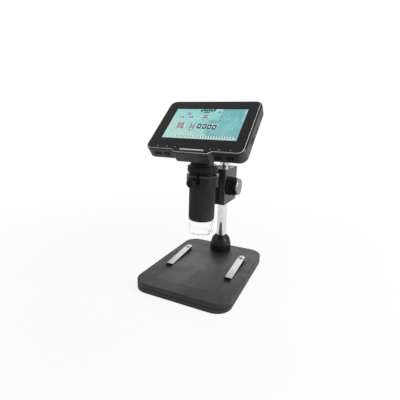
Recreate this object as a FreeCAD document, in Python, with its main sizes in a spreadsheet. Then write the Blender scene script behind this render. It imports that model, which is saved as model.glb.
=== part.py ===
import FreeCAD, Part
import math
import os
import re
import Sketcher

# Digital microscope with its own screen, on a weighted base with a focusing column.
# Millimetres. X to the right, Y to the back, Z up, origin under the middle of the base.

doc = FreeCAD.newDocument("digital_microscope")

# Driving sizes
SIZES = [
    # Base
    ("base_width", 126.0),
    ("base_depth", 168.0),
    ("base_corner", 20.0),
    ("foot_drop", 0.8),
    ("foot_radius", 7.0),
    ("foot_pocket", 0.6),
    ("foot_side_inset", 17.0),
    ("foot_end_inset", 18.0),
    ("tray_height", 5.8),
    ("tray_floor", 2.2),
    ("tray_wall", 3.0),
    ("groove_height", 0.6),
    ("groove_inset", 1.2),
    ("cover_height", 6.1),
    ("cover_wall", 3.0),
    ("cover_skin", 2.6),
    ("cover_round", 1.2),
    ("weight_side_inset", 15.0),
    ("weight_end_inset", 33.0),
    ("weight_height", 4.0),
    ("weight_y", -11.0),
    ("stage_width", 82.0),
    ("stage_depth", 95.0),
    ("stage_thick", 1.2),
    ("stage_corner", 2.0),
    ("stage_gap", 0.2),
    ("base_screw_side_inset", 10.0),
    ("base_screw_end_inset", 39.0),
    ("base_screw_radius", 1.45),
    ("base_screw_head", 2.8),
    ("base_screw_length", 7.0),
    ("base_boss_radius", 4.0),
    ("screw_play", 0.05),
    ("recess_share", 0.7),
    ("recess_depth", 0.6),
    ("head_depth", 1.1),
    # Specimen clips
    ("clip_outset", 2.1),
    ("clip_behind", 52.6),
    ("clip_width", 9.4),
    ("clip_thick", 0.8),
    ("clip_tail", 5.2),
    ("clip_pad", 6.0),
    ("clip_reach", 58.5),
    ("clip_curl", 4.5),
    ("clip_curl_rise", 2.6),
    ("clip_bend", 4.0),
    ("clip_tip_bevel", 1.2),
    ("clip_rest_gap", 0.15),
    ("spacer_radius", 4.2),
    ("spacer_height", 4.0),
    ("clip_screw_radius", 1.95),
    ("clip_screw_depth", 4.6),
    ("clip_screw_head", 4.0),
    ("clip_screw_dome", 1.9),
    ("clip_screw_round", 1.7),
    ("clip_recess", 2.1),
    ("clip_recess_depth", 1.3),
    ("clip_boss_drop", 2.3),
    # Column
    ("pole_inset", 21.6),
    ("pole_radius", 7.2),
    ("pole_length", 178.0),
    ("pole_wall", 1.2),
    ("pole_foot", 14.0),
    ("pole_bolt_radius", 3.0),
    ("pole_bolt_head", 5.0),
    ("pole_bolt_head_height", 3.6),
    ("pole_bolt_reach", 10.0),
    ("pole_cap_height", 2.0),
    ("pole_plug", 6.0),
    ("boot_radius", 16.0),
    ("boot_height", 24.6),
    ("boot_wall", 2.4),
    ("boot_straight", 10.0),
    ("boot_shoulder", 19.5),
    ("boot_taper", 2.4),
    ("boot_round", 9.0),
    ("boot_dip", 3.2),
    ("boot_lip", 1.5),
    ("boot_gap", 0.1),
    # Focusing block
    ("block_half", 14.0),
    ("block_reach", 33.4),
    ("block_tail", 17.6),
    ("block_low", 94.2),
    ("block_height", 50.5),
    ("block_round", 0.8),
    ("sleeve_wall", 2.0),
    ("sleeve_inset", 1.5),
    ("sleeve_slit", 1.2),
    ("run_play", 0.05),
    ("rail_half", 6.5),
    ("rail_flare", 2.5),
    ("rail_recess", 0.5),
    ("rail_neck", 1.6),
    ("rail_depth", 6.0),
    ("rail_play", 0.08),
    ("tooth_module", 0.8),
    ("pinion_teeth", 10.0),
    ("tooth_slack", 0.24),
    ("tooth_foot_share", 0.34),
    ("tooth_crown_share", 0.115),
    ("pressure_angle", 20.0),
    ("root_play", 0.3),
    ("rack_half", 3.0),
    ("rack_body", 1.4),
    ("pinion_half", 3.2),
    ("pinion_room", 0.6),
    ("shaft_radius", 2.5),
    ("knob_z", 120.5),
    ("knob_start", 0.6),
    ("knob_radius", 13.5),
    ("knob_end_radius", 12.2),
    ("knob_length", 13.6),
    ("knob_cap_thick", 2.8),
    ("knob_cap_bevel", 0.9),
    ("knob_bevel", 0.8),
    ("gib_radius", 1.5),
    ("gib_length", 4.6),
    ("gib_inset", 9.0),
    ("lock_z", 102.2),
    ("lock_radius", 2.5),
    ("lock_knob_radius", 6.0),
    ("lock_knob_length", 10.0),
    ("lock_knob_gap", 3.0),
    ("pad_thick", 1.5),
    ("pad_gap", 0.3),
    # Holder
    ("optic_reach", 79.0),
    ("ring_low", 129.2),
    ("ring_height", 12.0),
    ("ring_wall", 1.95),
    ("boss_half", 8.0),
    ("boss_thick", 5.0),
    ("arm_screw_radius", 1.5),
    ("arm_screw_head", 2.7),
    ("arm_screw_bite", 8.0),
    ("arm_screw_spread", 3.2),
    ("ring_screw_radius", 2.0),
    ("ring_screw_lift", 1.8),
    ("ring_knob_radius", 4.8),
    ("ring_knob_gap", 6.1),
    ("ring_knob_length", 7.0),
    ("liner_wall", 1.5),
    ("liner_flange", 2.5),
    ("liner_flange_radius", 20.3),
    ("liner_slit", 1.0),
    # Microscope barrel
    ("barrel_radius", 16.65),
    ("barrel_low", 84.8),
    ("barrel_bore", 14.3),
    ("barrel_round", 1.5),
    ("barrel_round_rise", 2.2),
    ("barrel_foot_bore", 14.9),
    ("collar_radius", 17.4),
    ("collar_height", 2.8),
    ("tube_radius", 15.8),
    ("wheel_radius", 19.3),
    ("wheel_height", 8.0),
    ("wheel_play", 0.1),
    ("wheel_bevel", 0.6),
    ("wheel_ribs", 36.0),
    ("wheel_rib_radius", 0.6),
    ("cam_pitch", 8.0),
    ("cam_rise", 5.2),
    ("cam_depth", 1.85),
    ("pin_radius", 1.0),
    ("pin_play", 0.1),
    ("pin_inset", 0.3),
    ("carriage_play", 0.1),
    ("carriage_wall", 1.3),
    ("carriage_low", 123.2),
    ("carriage_web", 2.4),
    ("carriage_crown", 0.3),
    ("cable_room", 2.4),
    ("cell_radius", 7.0),
    ("cell_bore", 5.6),
    ("cell_low", 99.2),
    ("cell_top", 127.2),
    ("cell_shoulder", 1.0),
    ("lens_play", 0.05),
    ("lens_curve", 18.0),
    ("lens_thick", 2.6),
    ("front_lens_inset", 1.0),
    ("rear_lens_inset", 4.0),
    ("led_board_thick", 1.2),
    ("led_board_bore", 7.8),
    ("led_board_depth", 9.6),
    ("led_circle", 11.2),
    ("led_radius", 1.5),
    ("led_height", 1.1),
    ("led_count", 8.0),
    ("nose_radius", 16.5),
    ("nose_length", 19.1),
    ("nose_wall", 1.2),
    ("nose_bevel", 3.2),
    ("nose_mouth", 11.6),
    ("nose_spigot_wall", 1.4),
    ("nose_gap", 0.1),
    # Neck
    ("neck_half", 12.4),
    ("neck_ahead", 11.4),
    ("neck_behind", 6.6),
    ("neck_wall", 3.1),
    ("neck_end_wall", 2.2),
    ("neck_round", 2.0),
    ("neck_flange", 1.4),
    ("neck_flange_radius", 17.0),
    ("neck_hole_half", 6.5),
    ("neck_hole_front", 1.8),
    ("neck_hole_back", 0.4),
    ("sensor_half", 3.75),
    ("sensor_board_thick", 1.2),
    ("part_gap", 0.2),
    ("cable_thick", 0.3),
    ("sensor_cable_half", 4.0),
    ("led_cable_half", 1.5),
    # Screen housing
    ("screen_shift", -0.34),
    ("screen_z", 205.67),
    ("screen_lean", 41.34),
    ("case_half", 62.3),
    ("case_top", 42.0),
    ("case_bottom", -47.0),
    ("case_corner", 9.0),
    ("case_depth", 16.4),
    ("case_wall", 1.8),
    ("case_back_round", 2.4),
    ("chin_drop", 4.0),
    ("chin_half", 21.0),
    ("chin_slope", 4.5),
    ("bezel_depth", 3.5),
    ("bezel_round", 1.9),
    ("glass_inset", 2.3),
    ("glass_low_inset", 1.0),
    ("glass_thick", 0.8),
    ("glass_proud", 0.3),
    ("glass_gap", 0.1),
    ("glass_bevel", 0.4),
    ("bezel_web", 1.0),
    ("view_margin", 4.15),
    ("view_height", 28.0),
    ("panel_margin", 9.55),
    ("panel_low", -35.6),
    ("panel_height", 67.2),
    ("panel_thick", 2.8),
    ("board_left_margin", 12.3),
    ("board_right_margin", 8.9),
    ("board_low", -39.2),
    ("board_top", 25.0),
    ("board_front", 8.2),
    ("board_thick", 1.2),
    ("chip_height", 1.2),
    ("post_radius", 2.6),
    ("post_inset", 5.8),
    ("post_split", 8.0),
    ("case_screw_radius", 1.0),
    ("case_screw_head", 1.9),
    ("case_screw_head_depth", 1.5),
    ("case_screw_length", 10.6),
    ("board_post_inset", 6.0),
    ("board_post_low", -31.0),
    ("board_post_top", 19.0),
    ("board_post_radius", 2.2),
    ("battery_half", 28.0),
    ("battery_low", -5.0),
    ("battery_height", 30.0),
    ("battery_thick", 3.2),
    ("neck_screw_radius", 1.0),
    ("neck_screw_head", 1.9),
    ("neck_screw_head_height", 1.2),
    ("neck_screw_length", 5.4),
    ("neck_screw_low", -24.0),
    ("neck_screw_top", -12.0),
    ("cable_hole_half", 6.0),
    ("cable_hole_low", -22.0),
    ("cable_hole_top", -11.0),
    ("cable_v", -17.0),
    ("bar_half", 15.0),
    ("bar_height", 1.9),
    ("bar_v", -45.4),
    ("bar_depth", 0.5),
    ("bar_proud", 0.15),
    ("bar_gap", 0.05),
    ("button_half", 4.1),
    ("button_depth", 4.2),
    ("button_proud", 0.6),
    ("button_play", 0.15),
    ("button_flange", 0.7),
    ("button_flange_thick", 1.0),
    ("button_back", 8.3),
    ("button_round", 1.9),
    ("left_key_inset", 15.9),
    ("left_key_pitch", 12.4),
    ("right_key_inset", 17.0),
    ("right_key_pitch", 14.4),
    ("switch_half", 3.0),
    ("switch_depth", 4.0),
    ("switch_height", 3.6),
    ("plunger_radius", 1.2),
    ("plunger_length", 0.6),
    ("usb_v", -19.3),
    ("usb_half", 3.8),
    ("usb_thick", 2.6),
    ("usb_length", 7.0),
    ("usb_mouth_half", 5.6),
    ("usb_mouth_depth", 4.2),
    ("card_v", 1.0),
    ("card_half", 5.6),
    ("card_thick", 1.9),
    ("card_length", 13.0),
    ("card_mouth_half", 5.7),
    ("card_mouth_depth", 1.7),
    ("socket_inset", 0.8),
    ("reset_v", -30.5),
    ("reset_w", 7.3),
    ("reset_radius", 0.7),
]

# Chips on the main board: left, right, low and high
CHIPS = [("-20", "-4", "-10", "6"), ("4", "14", "-8", "4"), ("-40", "-30", "-26", "-18")]

sheet = doc.addObject("Spreadsheet::Sheet", "Sizes")
for row, (name, number) in enumerate(SIZES, start=1):
    sheet.set("A%d" % row, name)
    sheet.set("B%d" % row, str(number))
    sheet.setAlias("B%d" % row, name)
doc.recompute()

# Heights and places worked out from the driving sizes
WORKED = {
    "tray_top": "foot_drop + tray_height",
    "tray_inside": "foot_drop + tray_floor",
    "cover_low": "tray_top + groove_height",
    "base_top": "cover_low + cover_height",
    "cover_inside": "base_top - cover_skin",
    "base_half_x": "base_width / 2",
    "base_half_y": "base_depth / 2",
    "foot_x": "base_half_x - foot_side_inset",
    "foot_y": "base_half_y - foot_end_inset",
    "base_screw_x": "base_half_x - base_screw_side_inset",
    "base_screw_y": "base_half_y - base_screw_end_inset",
    "weight_half_x": "base_half_x - weight_side_inset",
    "weight_half_y": "base_half_y - weight_end_inset",
    "pole_y": "base_half_y - pole_inset",
    "optic_y": "pole_y - optic_reach",
    "clip_x": "stage_width / 2 + clip_outset",
    "clip_y": "optic_y + clip_behind",
    "clip_low": "base_top + spacer_height",
    "clip_top": "clip_low + clip_thick",
    "clip_touch": "base_top + clip_rest_gap",
    "pole_low": "base_top",
    "pole_top": "pole_low + pole_length",
    "block_front": "pole_y - block_reach",
    "block_back": "pole_y + block_tail",
    "block_top": "block_low + block_height",
    "sleeve_radius": "pole_radius + run_play + sleeve_wall",
    "rail_front": "block_front + rail_recess",
    "rail_back": "rail_front + rail_depth",
    "pitch_radius": "tooth_module * pinion_teeth / 2",
    "rack_root": "rail_back + rack_body",
    "pitch_line": "rack_root + tooth_module + root_play",
    "rack_tip": "pitch_line + tooth_module - root_play / 2",
    "knob_y": "pitch_line + pitch_radius",
    "pinion_tip": "pitch_radius + tooth_module - root_play / 2",
    "pinion_root": "pitch_radius - tooth_module - root_play / 2",
    "knob_inner": "block_half + knob_start",
    "knob_outer": "knob_inner + knob_length",
    "liner_bore": "barrel_radius + run_play",
    "liner_radius": "liner_bore + liner_wall",
    "ring_bore": "liner_radius + run_play",
    "ring_radius": "ring_bore + ring_wall",
    "ring_top": "ring_low + ring_height",
    "ring_middle": "ring_low + ring_height / 2",
    "boss_front": "ring_bore + boss_thick",
    "collar_low": "ring_top + liner_flange",
    "wheel_low": "collar_low + collar_height",
    "tube_top": "wheel_low + wheel_height",
    "wheel_bore": "tube_radius + run_play",
    "cam_reach": "wheel_bore + cam_depth",
    "pin_z": "wheel_low + wheel_height / 2",
    "carriage_radius": "barrel_bore - carriage_play",
    "carriage_inner": "carriage_radius - carriage_wall",
    "led_board_low": "barrel_low + led_board_depth - led_board_thick",
    "led_board_top": "barrel_low + led_board_depth",
    "led_board_radius": "barrel_foot_bore - run_play",
    "nose_low": "barrel_low - nose_length",
    "neck_front": "optic_y - neck_ahead",
    "neck_back": "optic_y + neck_behind",
    "screen_y": "optic_y + screen_shift",
    "neck_low": "tube_top",
    "neck_floor": "neck_low + neck_flange",
    "rear_y": "screen_y + case_depth * sin(screen_lean)",
    "rear_z": "screen_z - case_depth * cos(screen_lean)",
    "glass_back": "glass_thick",
    "web_back": "glass_thick + bezel_web",
    "panel_back": "web_back + panel_thick",
    "board_back": "board_front + board_thick",
    "panel_half": "case_half - panel_margin",
    "view_half": "panel_half - view_margin",
    "board_half": "case_half - board_left_margin",
    "board_right": "case_half - board_right_margin",
    "board_post_x": "board_half - board_post_inset",
    "power_x": "-(case_half - left_key_inset)",
    "menu_x": "power_x + left_key_pitch",
    "up_x": "case_half - right_key_inset",
    "down_x": "up_x - right_key_pitch",
    "case_inside": "case_depth - case_wall",
    "post_x": "case_half - post_inset",
    "post_top": "case_top - post_inset",
    "post_low": "case_bottom + post_inset",
    "wall_inside": "case_bottom + case_wall",
}


def bound(text):
    """Writes a formula of size names as one that the sheet can work out."""
    def swap(match):
        word = match.group(0)
        if word in WORKED:
            return "(" + bound(WORKED[word]) + ")"
        return "Sizes." + word if word in NAMES else word
    return re.sub(r"[a-z]\w*", swap, text)


NAMES = {name for name, number in SIZES}


def size(text):
    return float(sheet.evalExpression(bound(text)))


# Frames in which the pieces are drawn
FRAMES = {
    "base": ("0", "0", "0"),
    "pole": ("0", "pole_y", "0"),
    "barrel": ("0", "optic_y", "0"),
    "knob": ("0", "knob_y", "knob_z"),
    "lock": ("0", "pole_y", "lock_z"),
    "ring_screw": ("0", "optic_y", "ring_middle + ring_screw_lift"),
    "screen": ("0", "screen_y", "screen_z"),
}
TURNS = {"XY": 1, "XZ": -1, "YZ": 1}
pieces = []


def place(item, at, turn=None):
    """Binds an object's place, and its turn as an axis and an angle."""
    for letter, text in zip("xyz", at):
        item.setExpression("Placement.Base." + letter, bound(text))
    if turn:
        axis, angle = turn
        item.Placement = FreeCAD.Placement(item.Placement.Base, FreeCAD.Rotation(axis, size(angle)))
        item.setExpression("Placement.Rotation.Angle", bound(angle))


def body(name, frame="base", turn=None):
    item = doc.addObject("PartDesign::Body", name)
    item.Label = name
    if frame == "screen":
        turn = (FreeCAD.Vector(1, 0, 0), "screen_lean")
    place(item, FRAMES[frame], turn)
    pieces.append(item)
    return item


def origin_part(item, role):
    return [part for part in item.Origin.OriginFeatures if part.Role == role][0]


def sketch(item, plane, level):
    """A sketch parallel to a plane of the body, at a level along the plane's own axis."""
    drawing = item.newObject("Sketcher::SketchObject", "Sketch")
    drawing.AttachmentSupport = [(origin_part(item, plane + "_Plane"), "")]
    drawing.MapMode = "FlatFace"
    sign = "" if TURNS[plane] > 0 else "-"
    drawing.setExpression("AttachmentOffset.Base.z", bound("%s(%s)" % (sign, level)))
    return drawing


def drive(drawing, kind, *parts):
    """A dimension held by a formula. The formula comes last."""
    text = parts[-1]
    number = drawing.addConstraint(Sketcher.Constraint(kind, *parts[:-1], size(text)))
    drawing.setExpression("Constraints[%d]" % number, bound(text))


def outline(drawing, points, quarters=None, radius="0"):
    """A closed outline through named points. Quarters give the first angle of each quarter round."""
    spots = [FreeCAD.Vector(size(x), size(y), 0) for x, y in points]
    quarters = quarters or {}
    base = drawing.GeometryCount
    count = len(points)
    for index, spot in enumerate(spots):
        if index in quarters:
            first = math.radians(quarters[index])
            hub = spot - FreeCAD.Vector(math.cos(first), math.sin(first), 0) * size(radius)
            turn = Part.Circle(hub, FreeCAD.Vector(0, 0, 1), size(radius))
            drawing.addGeometry(Part.ArcOfCircle(turn, first, first + math.pi / 2), False)
        else:
            drawing.addGeometry(Part.LineSegment(spot, spots[(index + 1) % count]), False)
    for index in quarters:
        drive(drawing, "Radius", base + index, radius)
    for index in range(count):
        link = (base + index, 2, base + (index + 1) % count, 1)
        drawing.addConstraint(Sketcher.Constraint("Coincident", *link))
    for index, (x, y) in enumerate(points, start=base):
        drive(drawing, "DistanceX", -1, 1, index, 1, x)
        drive(drawing, "DistanceY", -1, 1, index, 1, y)


def circle(drawing, x, y, radius):
    centre = FreeCAD.Vector(size(x), size(y), 0)
    turn = Part.Circle(centre, FreeCAD.Vector(0, 0, 1), size(radius))
    number = drawing.addGeometry(turn, False)
    drive(drawing, "Radius", number, radius)
    drive(drawing, "DistanceX", -1, 1, number, 3, x)
    drive(drawing, "DistanceY", -1, 1, number, 3, y)


def rounded(drawing, left, right, low, high, corner):
    """A rectangle with round corners."""
    x0, x1, y0, y1, r = [size(text) for text in (left, right, low, high, corner)]
    base = drawing.GeometryCount
    sides = [((x0 + r, y0), (x1 - r, y0)), ((x1, y0 + r), (x1, y1 - r)),
             ((x1 - r, y1), (x0 + r, y1)), ((x0, y1 - r), (x0, y0 + r))]
    hubs = [(x1 - r, y0 + r), (x1 - r, y1 - r), (x0 + r, y1 - r), (x0 + r, y0 + r)]
    for index, (ends, hub) in enumerate(zip(sides, hubs)):
        start, end = [FreeCAD.Vector(x, y, 0) for x, y in ends]
        drawing.addGeometry(Part.LineSegment(start, end), False)
        turn = Part.Circle(FreeCAD.Vector(hub[0], hub[1], 0), FreeCAD.Vector(0, 0, 1), r)
        first = math.radians(90 * (index - 1))
        drawing.addGeometry(Part.ArcOfCircle(turn, first, first + math.pi / 2), False)
    for index in range(8):
        link = (base + index, 2, base + (index + 1) % 8, 1)
        drawing.addConstraint(Sketcher.Constraint("Tangent", *link))
    for line, kind in ((0, "Horizontal"), (2, "Vertical"), (4, "Horizontal"), (6, "Vertical")):
        drawing.addConstraint(Sketcher.Constraint(kind, base + line))
    for arc in (1, 3, 5):
        drawing.addConstraint(Sketcher.Constraint("Equal", base + arc, base + arc + 2))
    drive(drawing, "Radius", base + 1, corner)
    drive(drawing, "DistanceY", -1, 1, base, 1, low)
    drive(drawing, "DistanceY", -1, 1, base + 4, 1, high)
    drive(drawing, "DistanceX", -1, 1, base + 2, 1, right)
    drive(drawing, "DistanceX", -1, 1, base + 6, 1, left)


def finish(item, feature, before, cutting):
    """Recomputes and makes sure that the feature changed the solid the right way."""
    doc.recompute()
    after = item.Shape.Volume
    if "Invalid" in feature.State or (after >= before if cutting else after <= before):
        raise RuntimeError("%s: %s did nothing" % (item.Label, feature.Name))
    return feature


def extrude(item, drawing, plane, length, cutting=False):
    """Pads or pockets a sketch towards plus on the plane's own axis."""
    before = item.Shape.Volume if item.Tip else 0
    kind = "PartDesign::Pocket" if cutting else "PartDesign::Pad"
    feature = item.newObject(kind, "Cut" if cutting else "Add")
    feature.Profile = drawing
    feature.setExpression("Length", bound(length))
    feature.Reversed = (TURNS[plane] > 0) if cutting else (TURNS[plane] < 0)
    return finish(item, feature, before, cutting)


def prism(item, plane, points, start, length, cutting=False):
    drawing = sketch(item, plane, start)
    outline(drawing, points)
    return extrude(item, drawing, plane, length, cutting)


def box(item, x, y, z, cutting=False):
    """A box from pairs of formulas, low and high, along each axis."""
    points = [(x[0], y[0]), (x[1], y[0]), (x[1], y[1]), (x[0], y[1])]
    return prism(item, "XY", points, z[0], "%s - (%s)" % (z[1], z[0]), cutting)


def slab(item, x, y, corner, z, cutting=False):
    """A box with round upright corners."""
    drawing = sketch(item, "XY", z[0])
    rounded(drawing, x[0], x[1], y[0], y[1], corner)
    return extrude(item, drawing, "XY", "%s - (%s)" % (z[1], z[0]), cutting)


def rod(item, plane, centres, radius, start, end, cutting=False, bore=None):
    """Round bars, tubes or holes across a plane, one at each centre."""
    drawing = sketch(item, plane, start)
    for x, y in centres:
        circle(drawing, x, y, radius)
        if bore:
            circle(drawing, x, y, bore)
    return extrude(item, drawing, plane, "%s - (%s)" % (end, start), cutting)


def crosses(item, centres, reach, start, end):
    """Cross recesses for a driver, cut between two levels."""
    drawing = sketch(item, "XY", start)
    thin = "(%s) / 4" % reach
    for x, y in centres:
        quarter = [(reach, "-(%s)" % thin), (reach, thin), (thin, thin)]
        points = []
        for turn in range(4):
            points += [("%s + (%s)" % (x, across), "%s + (%s)" % (y, along)) for across, along in quarter]
            quarter = [("-(%s)" % along, across) for across, along in quarter]
        outline(drawing, points)
    return extrude(item, drawing, "XY", "%s - (%s)" % (end, start), cutting=True)


def spin(item, points, about="V_Axis", cutting=False):
    """Turns an outline in the XZ plane about the body's upright or level axis."""
    drawing = sketch(item, "XZ", "0")
    outline(drawing, points)
    before = item.Shape.Volume if item.Tip else 0
    kind = "PartDesign::Groove" if cutting else "PartDesign::Revolution"
    feature = item.newObject(kind, "Turned")
    feature.Profile = drawing
    feature.ReferenceAxis = (drawing, [about])
    feature.Angle = 360
    return finish(item, feature, before, cutting)


def soften(item, chosen, amount, bevel=False):
    """Rounds or bevels the edges for which the test is true."""
    solid = item.Tip
    names = ["Edge%d" % (index + 1) for index, edge in enumerate(item.Shape.Edges) if chosen(edge)]
    if not names:
        raise RuntimeError(item.Label + ": no edge to soften")
    feature = item.newObject("PartDesign::Chamfer" if bevel else "PartDesign::Fillet", "Softened")
    feature.Base = (solid, names)
    feature.setExpression("Size" if bevel else "Radius", bound(amount))
    item.Tip = feature
    doc.recompute()
    if "Invalid" in feature.State:
        raise RuntimeError(item.Label + ": edges not softened")


def middle(edge):
    return edge.valueAt((edge.FirstParameter + edge.LastParameter) / 2)


def local(item, edge):
    """The middle of an edge in the body's own frame."""
    return item.Placement.inverse().multVec(middle(edge))


def near(number, text):
    return abs(number - size(text)) < 0.01


def upright(edge):
    low, high = edge.BoundBox.ZMin, edge.BoundBox.ZMax
    return high - low > 0.5 and edge.BoundBox.XLength < 0.01 and edge.BoundBox.YLength < 0.01


def at_height(text):
    """True for edges that lie flat at one height."""
    return lambda edge: near(edge.BoundBox.ZMin, text) and near(edge.BoundBox.ZMax, text)


def both(x, y):
    """Two centres, mirrored across the middle."""
    return [(x, y), ("-(%s)" % x, y)]


def four(x, y):
    return both(x, y) + both(x, "-(%s)" % y)


# Base


def base_cover():
    item = body("base_cover")
    slab(item, ("-base_half_x", "base_half_x"), ("-base_half_y", "base_half_y"), "base_corner",
         ("cover_low", "base_top"))
    soften(item, at_height("base_top"), "cover_round")
    slab(item, ("-base_half_x + cover_wall", "base_half_x - cover_wall"),
         ("-base_half_y + cover_wall", "base_half_y - cover_wall"), "base_corner - cover_wall",
         ("cover_low", "cover_inside"), cutting=True)
    stage_half = "stage_width / 2 + stage_gap"
    slab(item, ("-(%s)" % stage_half, stage_half),
         ("optic_y - stage_depth / 2 - stage_gap", "optic_y + stage_depth / 2 + stage_gap"),
         "stage_corner + stage_gap", ("base_top - stage_thick", "base_top"), cutting=True)
    rod(item, "XY", four("base_screw_x", "base_screw_y"), "base_boss_radius", "tray_inside", "cover_inside")
    rod(item, "XY", four("base_screw_x", "base_screw_y"), "base_screw_radius + screw_play",
        "tray_inside", "tray_inside + base_screw_length", cutting=True)
    rod(item, "XY", both("clip_x", "clip_y"), "base_boss_radius", "cover_inside - clip_boss_drop",
        "cover_inside")
    rod(item, "XY", both("clip_x", "clip_y"), "clip_screw_radius + screw_play",
        "cover_inside - clip_boss_drop", "base_top", cutting=True)
    rod(item, "XY", [("0", "pole_y")], "pole_bolt_radius + part_gap", "cover_inside", "base_top",
        cutting=True)


def base_tray():
    item = body("base_tray")
    slab(item, ("-base_half_x", "base_half_x"), ("-base_half_y", "base_half_y"), "base_corner",
         ("foot_drop", "tray_top"))
    soften(item, at_height("foot_drop"), "cover_round / 2")
    slab(item, ("-base_half_x + groove_inset", "base_half_x - groove_inset"),
         ("-base_half_y + groove_inset", "base_half_y - groove_inset"), "base_corner - groove_inset",
         ("tray_top", "cover_low"))
    slab(item, ("-base_half_x + tray_wall", "base_half_x - tray_wall"),
         ("-base_half_y + tray_wall", "base_half_y - tray_wall"), "base_corner - tray_wall",
         ("tray_inside", "cover_low"), cutting=True)
    rod(item, "XY", four("foot_x", "foot_y"), "foot_radius + part_gap", "foot_drop",
        "foot_drop + foot_pocket", cutting=True)
    rod(item, "XY", four("base_screw_x", "base_screw_y"), "base_screw_head + part_gap", "foot_drop",
        "foot_drop + head_depth", cutting=True)
    rod(item, "XY", four("base_screw_x", "base_screw_y"), "base_screw_radius + part_gap",
        "foot_drop + head_depth", "tray_inside", cutting=True)


def base_weight():
    item = body("base_weight")
    box(item, ("-weight_half_x", "weight_half_x"), ("weight_y - weight_half_y", "weight_y + weight_half_y"),
        ("tray_inside", "tray_inside + weight_height"))
    soften(item, upright, "base_boss_radius")


def stage_plate():
    item = body("stage_plate")
    slab(item, ("-stage_width / 2", "stage_width / 2"),
         ("optic_y - stage_depth / 2", "optic_y + stage_depth / 2"), "stage_corner",
         ("base_top - stage_thick", "base_top"))


def base_feet():
    item = body("base_feet")
    rod(item, "XY", four("foot_x", "foot_y"), "foot_radius", "0", "foot_drop + foot_pocket")
    soften(item, at_height("0"), "foot_pocket / 2")


def base_screws():
    item = body("base_screws")
    rod(item, "XY", four("base_screw_x", "base_screw_y"), "base_screw_head", "foot_drop + screw_play",
        "foot_drop + head_depth")
    rod(item, "XY", four("base_screw_x", "base_screw_y"), "base_screw_radius", "foot_drop + head_depth",
        "tray_inside + base_screw_length - part_gap")
    crosses(item, four("base_screw_x", "base_screw_y"), "base_screw_head * recess_share",
            "foot_drop + screw_play", "foot_drop + screw_play + recess_depth")


# Specimen clips


def clip(name, side):
    """A spring strip held by one screw, bent down to the stage and curled up at its tip."""
    item = doc.addObject("PartDesign::Body", name)
    item.Label = name
    place(item, (side + "clip_x", "clip_y", "0"))
    pieces.append(item)
    profile = [
        ("clip_tail", "clip_low"), ("clip_tail", "clip_top"),
        ("-clip_pad", "clip_top"), ("-clip_reach", "clip_touch + clip_thick"),
        ("-clip_reach - clip_curl", "clip_touch + clip_curl_rise + clip_thick"),
        ("-clip_reach - clip_curl", "clip_touch + clip_curl_rise"),
        ("-clip_reach", "clip_touch"), ("-clip_pad", "clip_low"),
    ]
    prism(item, "YZ", profile, "-clip_width / 2", "clip_width")
    soften(item, lambda edge: upright(edge) and near(local(item, edge).y, "-clip_reach - clip_curl"),
           "clip_tip_bevel", bevel=True)
    bends = (("clip_touch + clip_thick", "clip_bend"), ("clip_touch", "clip_bend + clip_thick"))
    for level, radius in bends:
        soften(item, lambda edge: at_height(level)(edge) and near(local(item, edge).y, "-clip_reach"),
               radius)
    soften(item, lambda edge: upright(edge) and near(local(item, edge).y, "clip_tail"),
           "clip_width / 2 - clip_thick")
    rod(item, "XY", [("0", "0")], "clip_screw_radius + run_play", "clip_low", "clip_top", cutting=True)


def clip_spacers():
    item = body("clip_spacers")
    rod(item, "XY", both("clip_x", "clip_y"), "spacer_radius", "base_top", "clip_low",
        bore="clip_screw_radius + screw_play")


def clip_screws():
    item = body("clip_screws")
    rod(item, "XY", both("clip_x", "clip_y"), "clip_screw_radius", "base_top - clip_screw_depth",
        "clip_top + screw_play")
    rod(item, "XY", both("clip_x", "clip_y"), "clip_screw_head", "clip_top + screw_play",
        "clip_top + screw_play + clip_screw_dome")
    top = "clip_top + screw_play + clip_screw_dome"
    soften(item, at_height(top), "clip_screw_round")
    crosses(item, both("clip_x", "clip_y"), "clip_recess", top + " - clip_recess_depth", top)


# Column


def pole_boot():
    """A hollow dome that dips in to the pole at its crest."""
    item = body("pole_boot", "pole")
    crest = "pole_radius + boot_gap + boot_lip"
    shoulder = "boot_radius - boot_taper"
    ceiling = "base_top + boot_height - boot_dip - boot_wall"
    spin(item, [
        ("pole_radius + boot_gap", ceiling), (crest, ceiling),
        (shoulder + " - boot_wall", "base_top + boot_shoulder - boot_wall"),
        ("boot_radius - boot_wall", "base_top + boot_straight - boot_wall"),
        ("boot_radius - boot_wall", "base_top"), ("boot_radius", "base_top"),
        ("boot_radius", "base_top + boot_straight"), (shoulder, "base_top + boot_shoulder"),
        (crest, "base_top + boot_height"), ("pole_radius + boot_gap", "base_top + boot_height - boot_dip"),
    ])
    for level, radius in (("boot_straight", "2 * boot_round"), ("boot_shoulder", "boot_round"),
                          ("boot_height", "boot_lip / 2")):
        soften(item, at_height("base_top + " + level), radius)


def pole():
    item = body("pole", "pole")
    spin(item, [
        ("pole_bolt_radius + screw_play", "pole_low"),
        ("pole_radius", "pole_low"),
        ("pole_radius", "pole_top"),
        ("pole_radius - pole_wall", "pole_top"),
        ("pole_radius - pole_wall", "pole_low + pole_foot"),
        ("pole_bolt_radius + screw_play", "pole_low + pole_foot"),
    ])


def pole_bolt():
    item = body("pole_bolt", "pole")
    rod(item, "XY", [("0", "0")], "pole_bolt_head", "cover_inside - pole_bolt_head_height", "cover_inside")
    rod(item, "XY", [("0", "0")], "pole_bolt_radius", "cover_inside", "pole_low + pole_bolt_reach")


def pole_cap():
    item = body("pole_cap", "pole")
    rod(item, "XY", [("0", "0")], "pole_radius - pole_wall", "pole_top - pole_plug", "pole_top")
    rod(item, "XY", [("0", "0")], "pole_radius", "pole_top", "pole_top + pole_cap_height")
    soften(item, at_height("pole_top + pole_cap_height"), "pole_cap_height / 2")


# Focusing block


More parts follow.
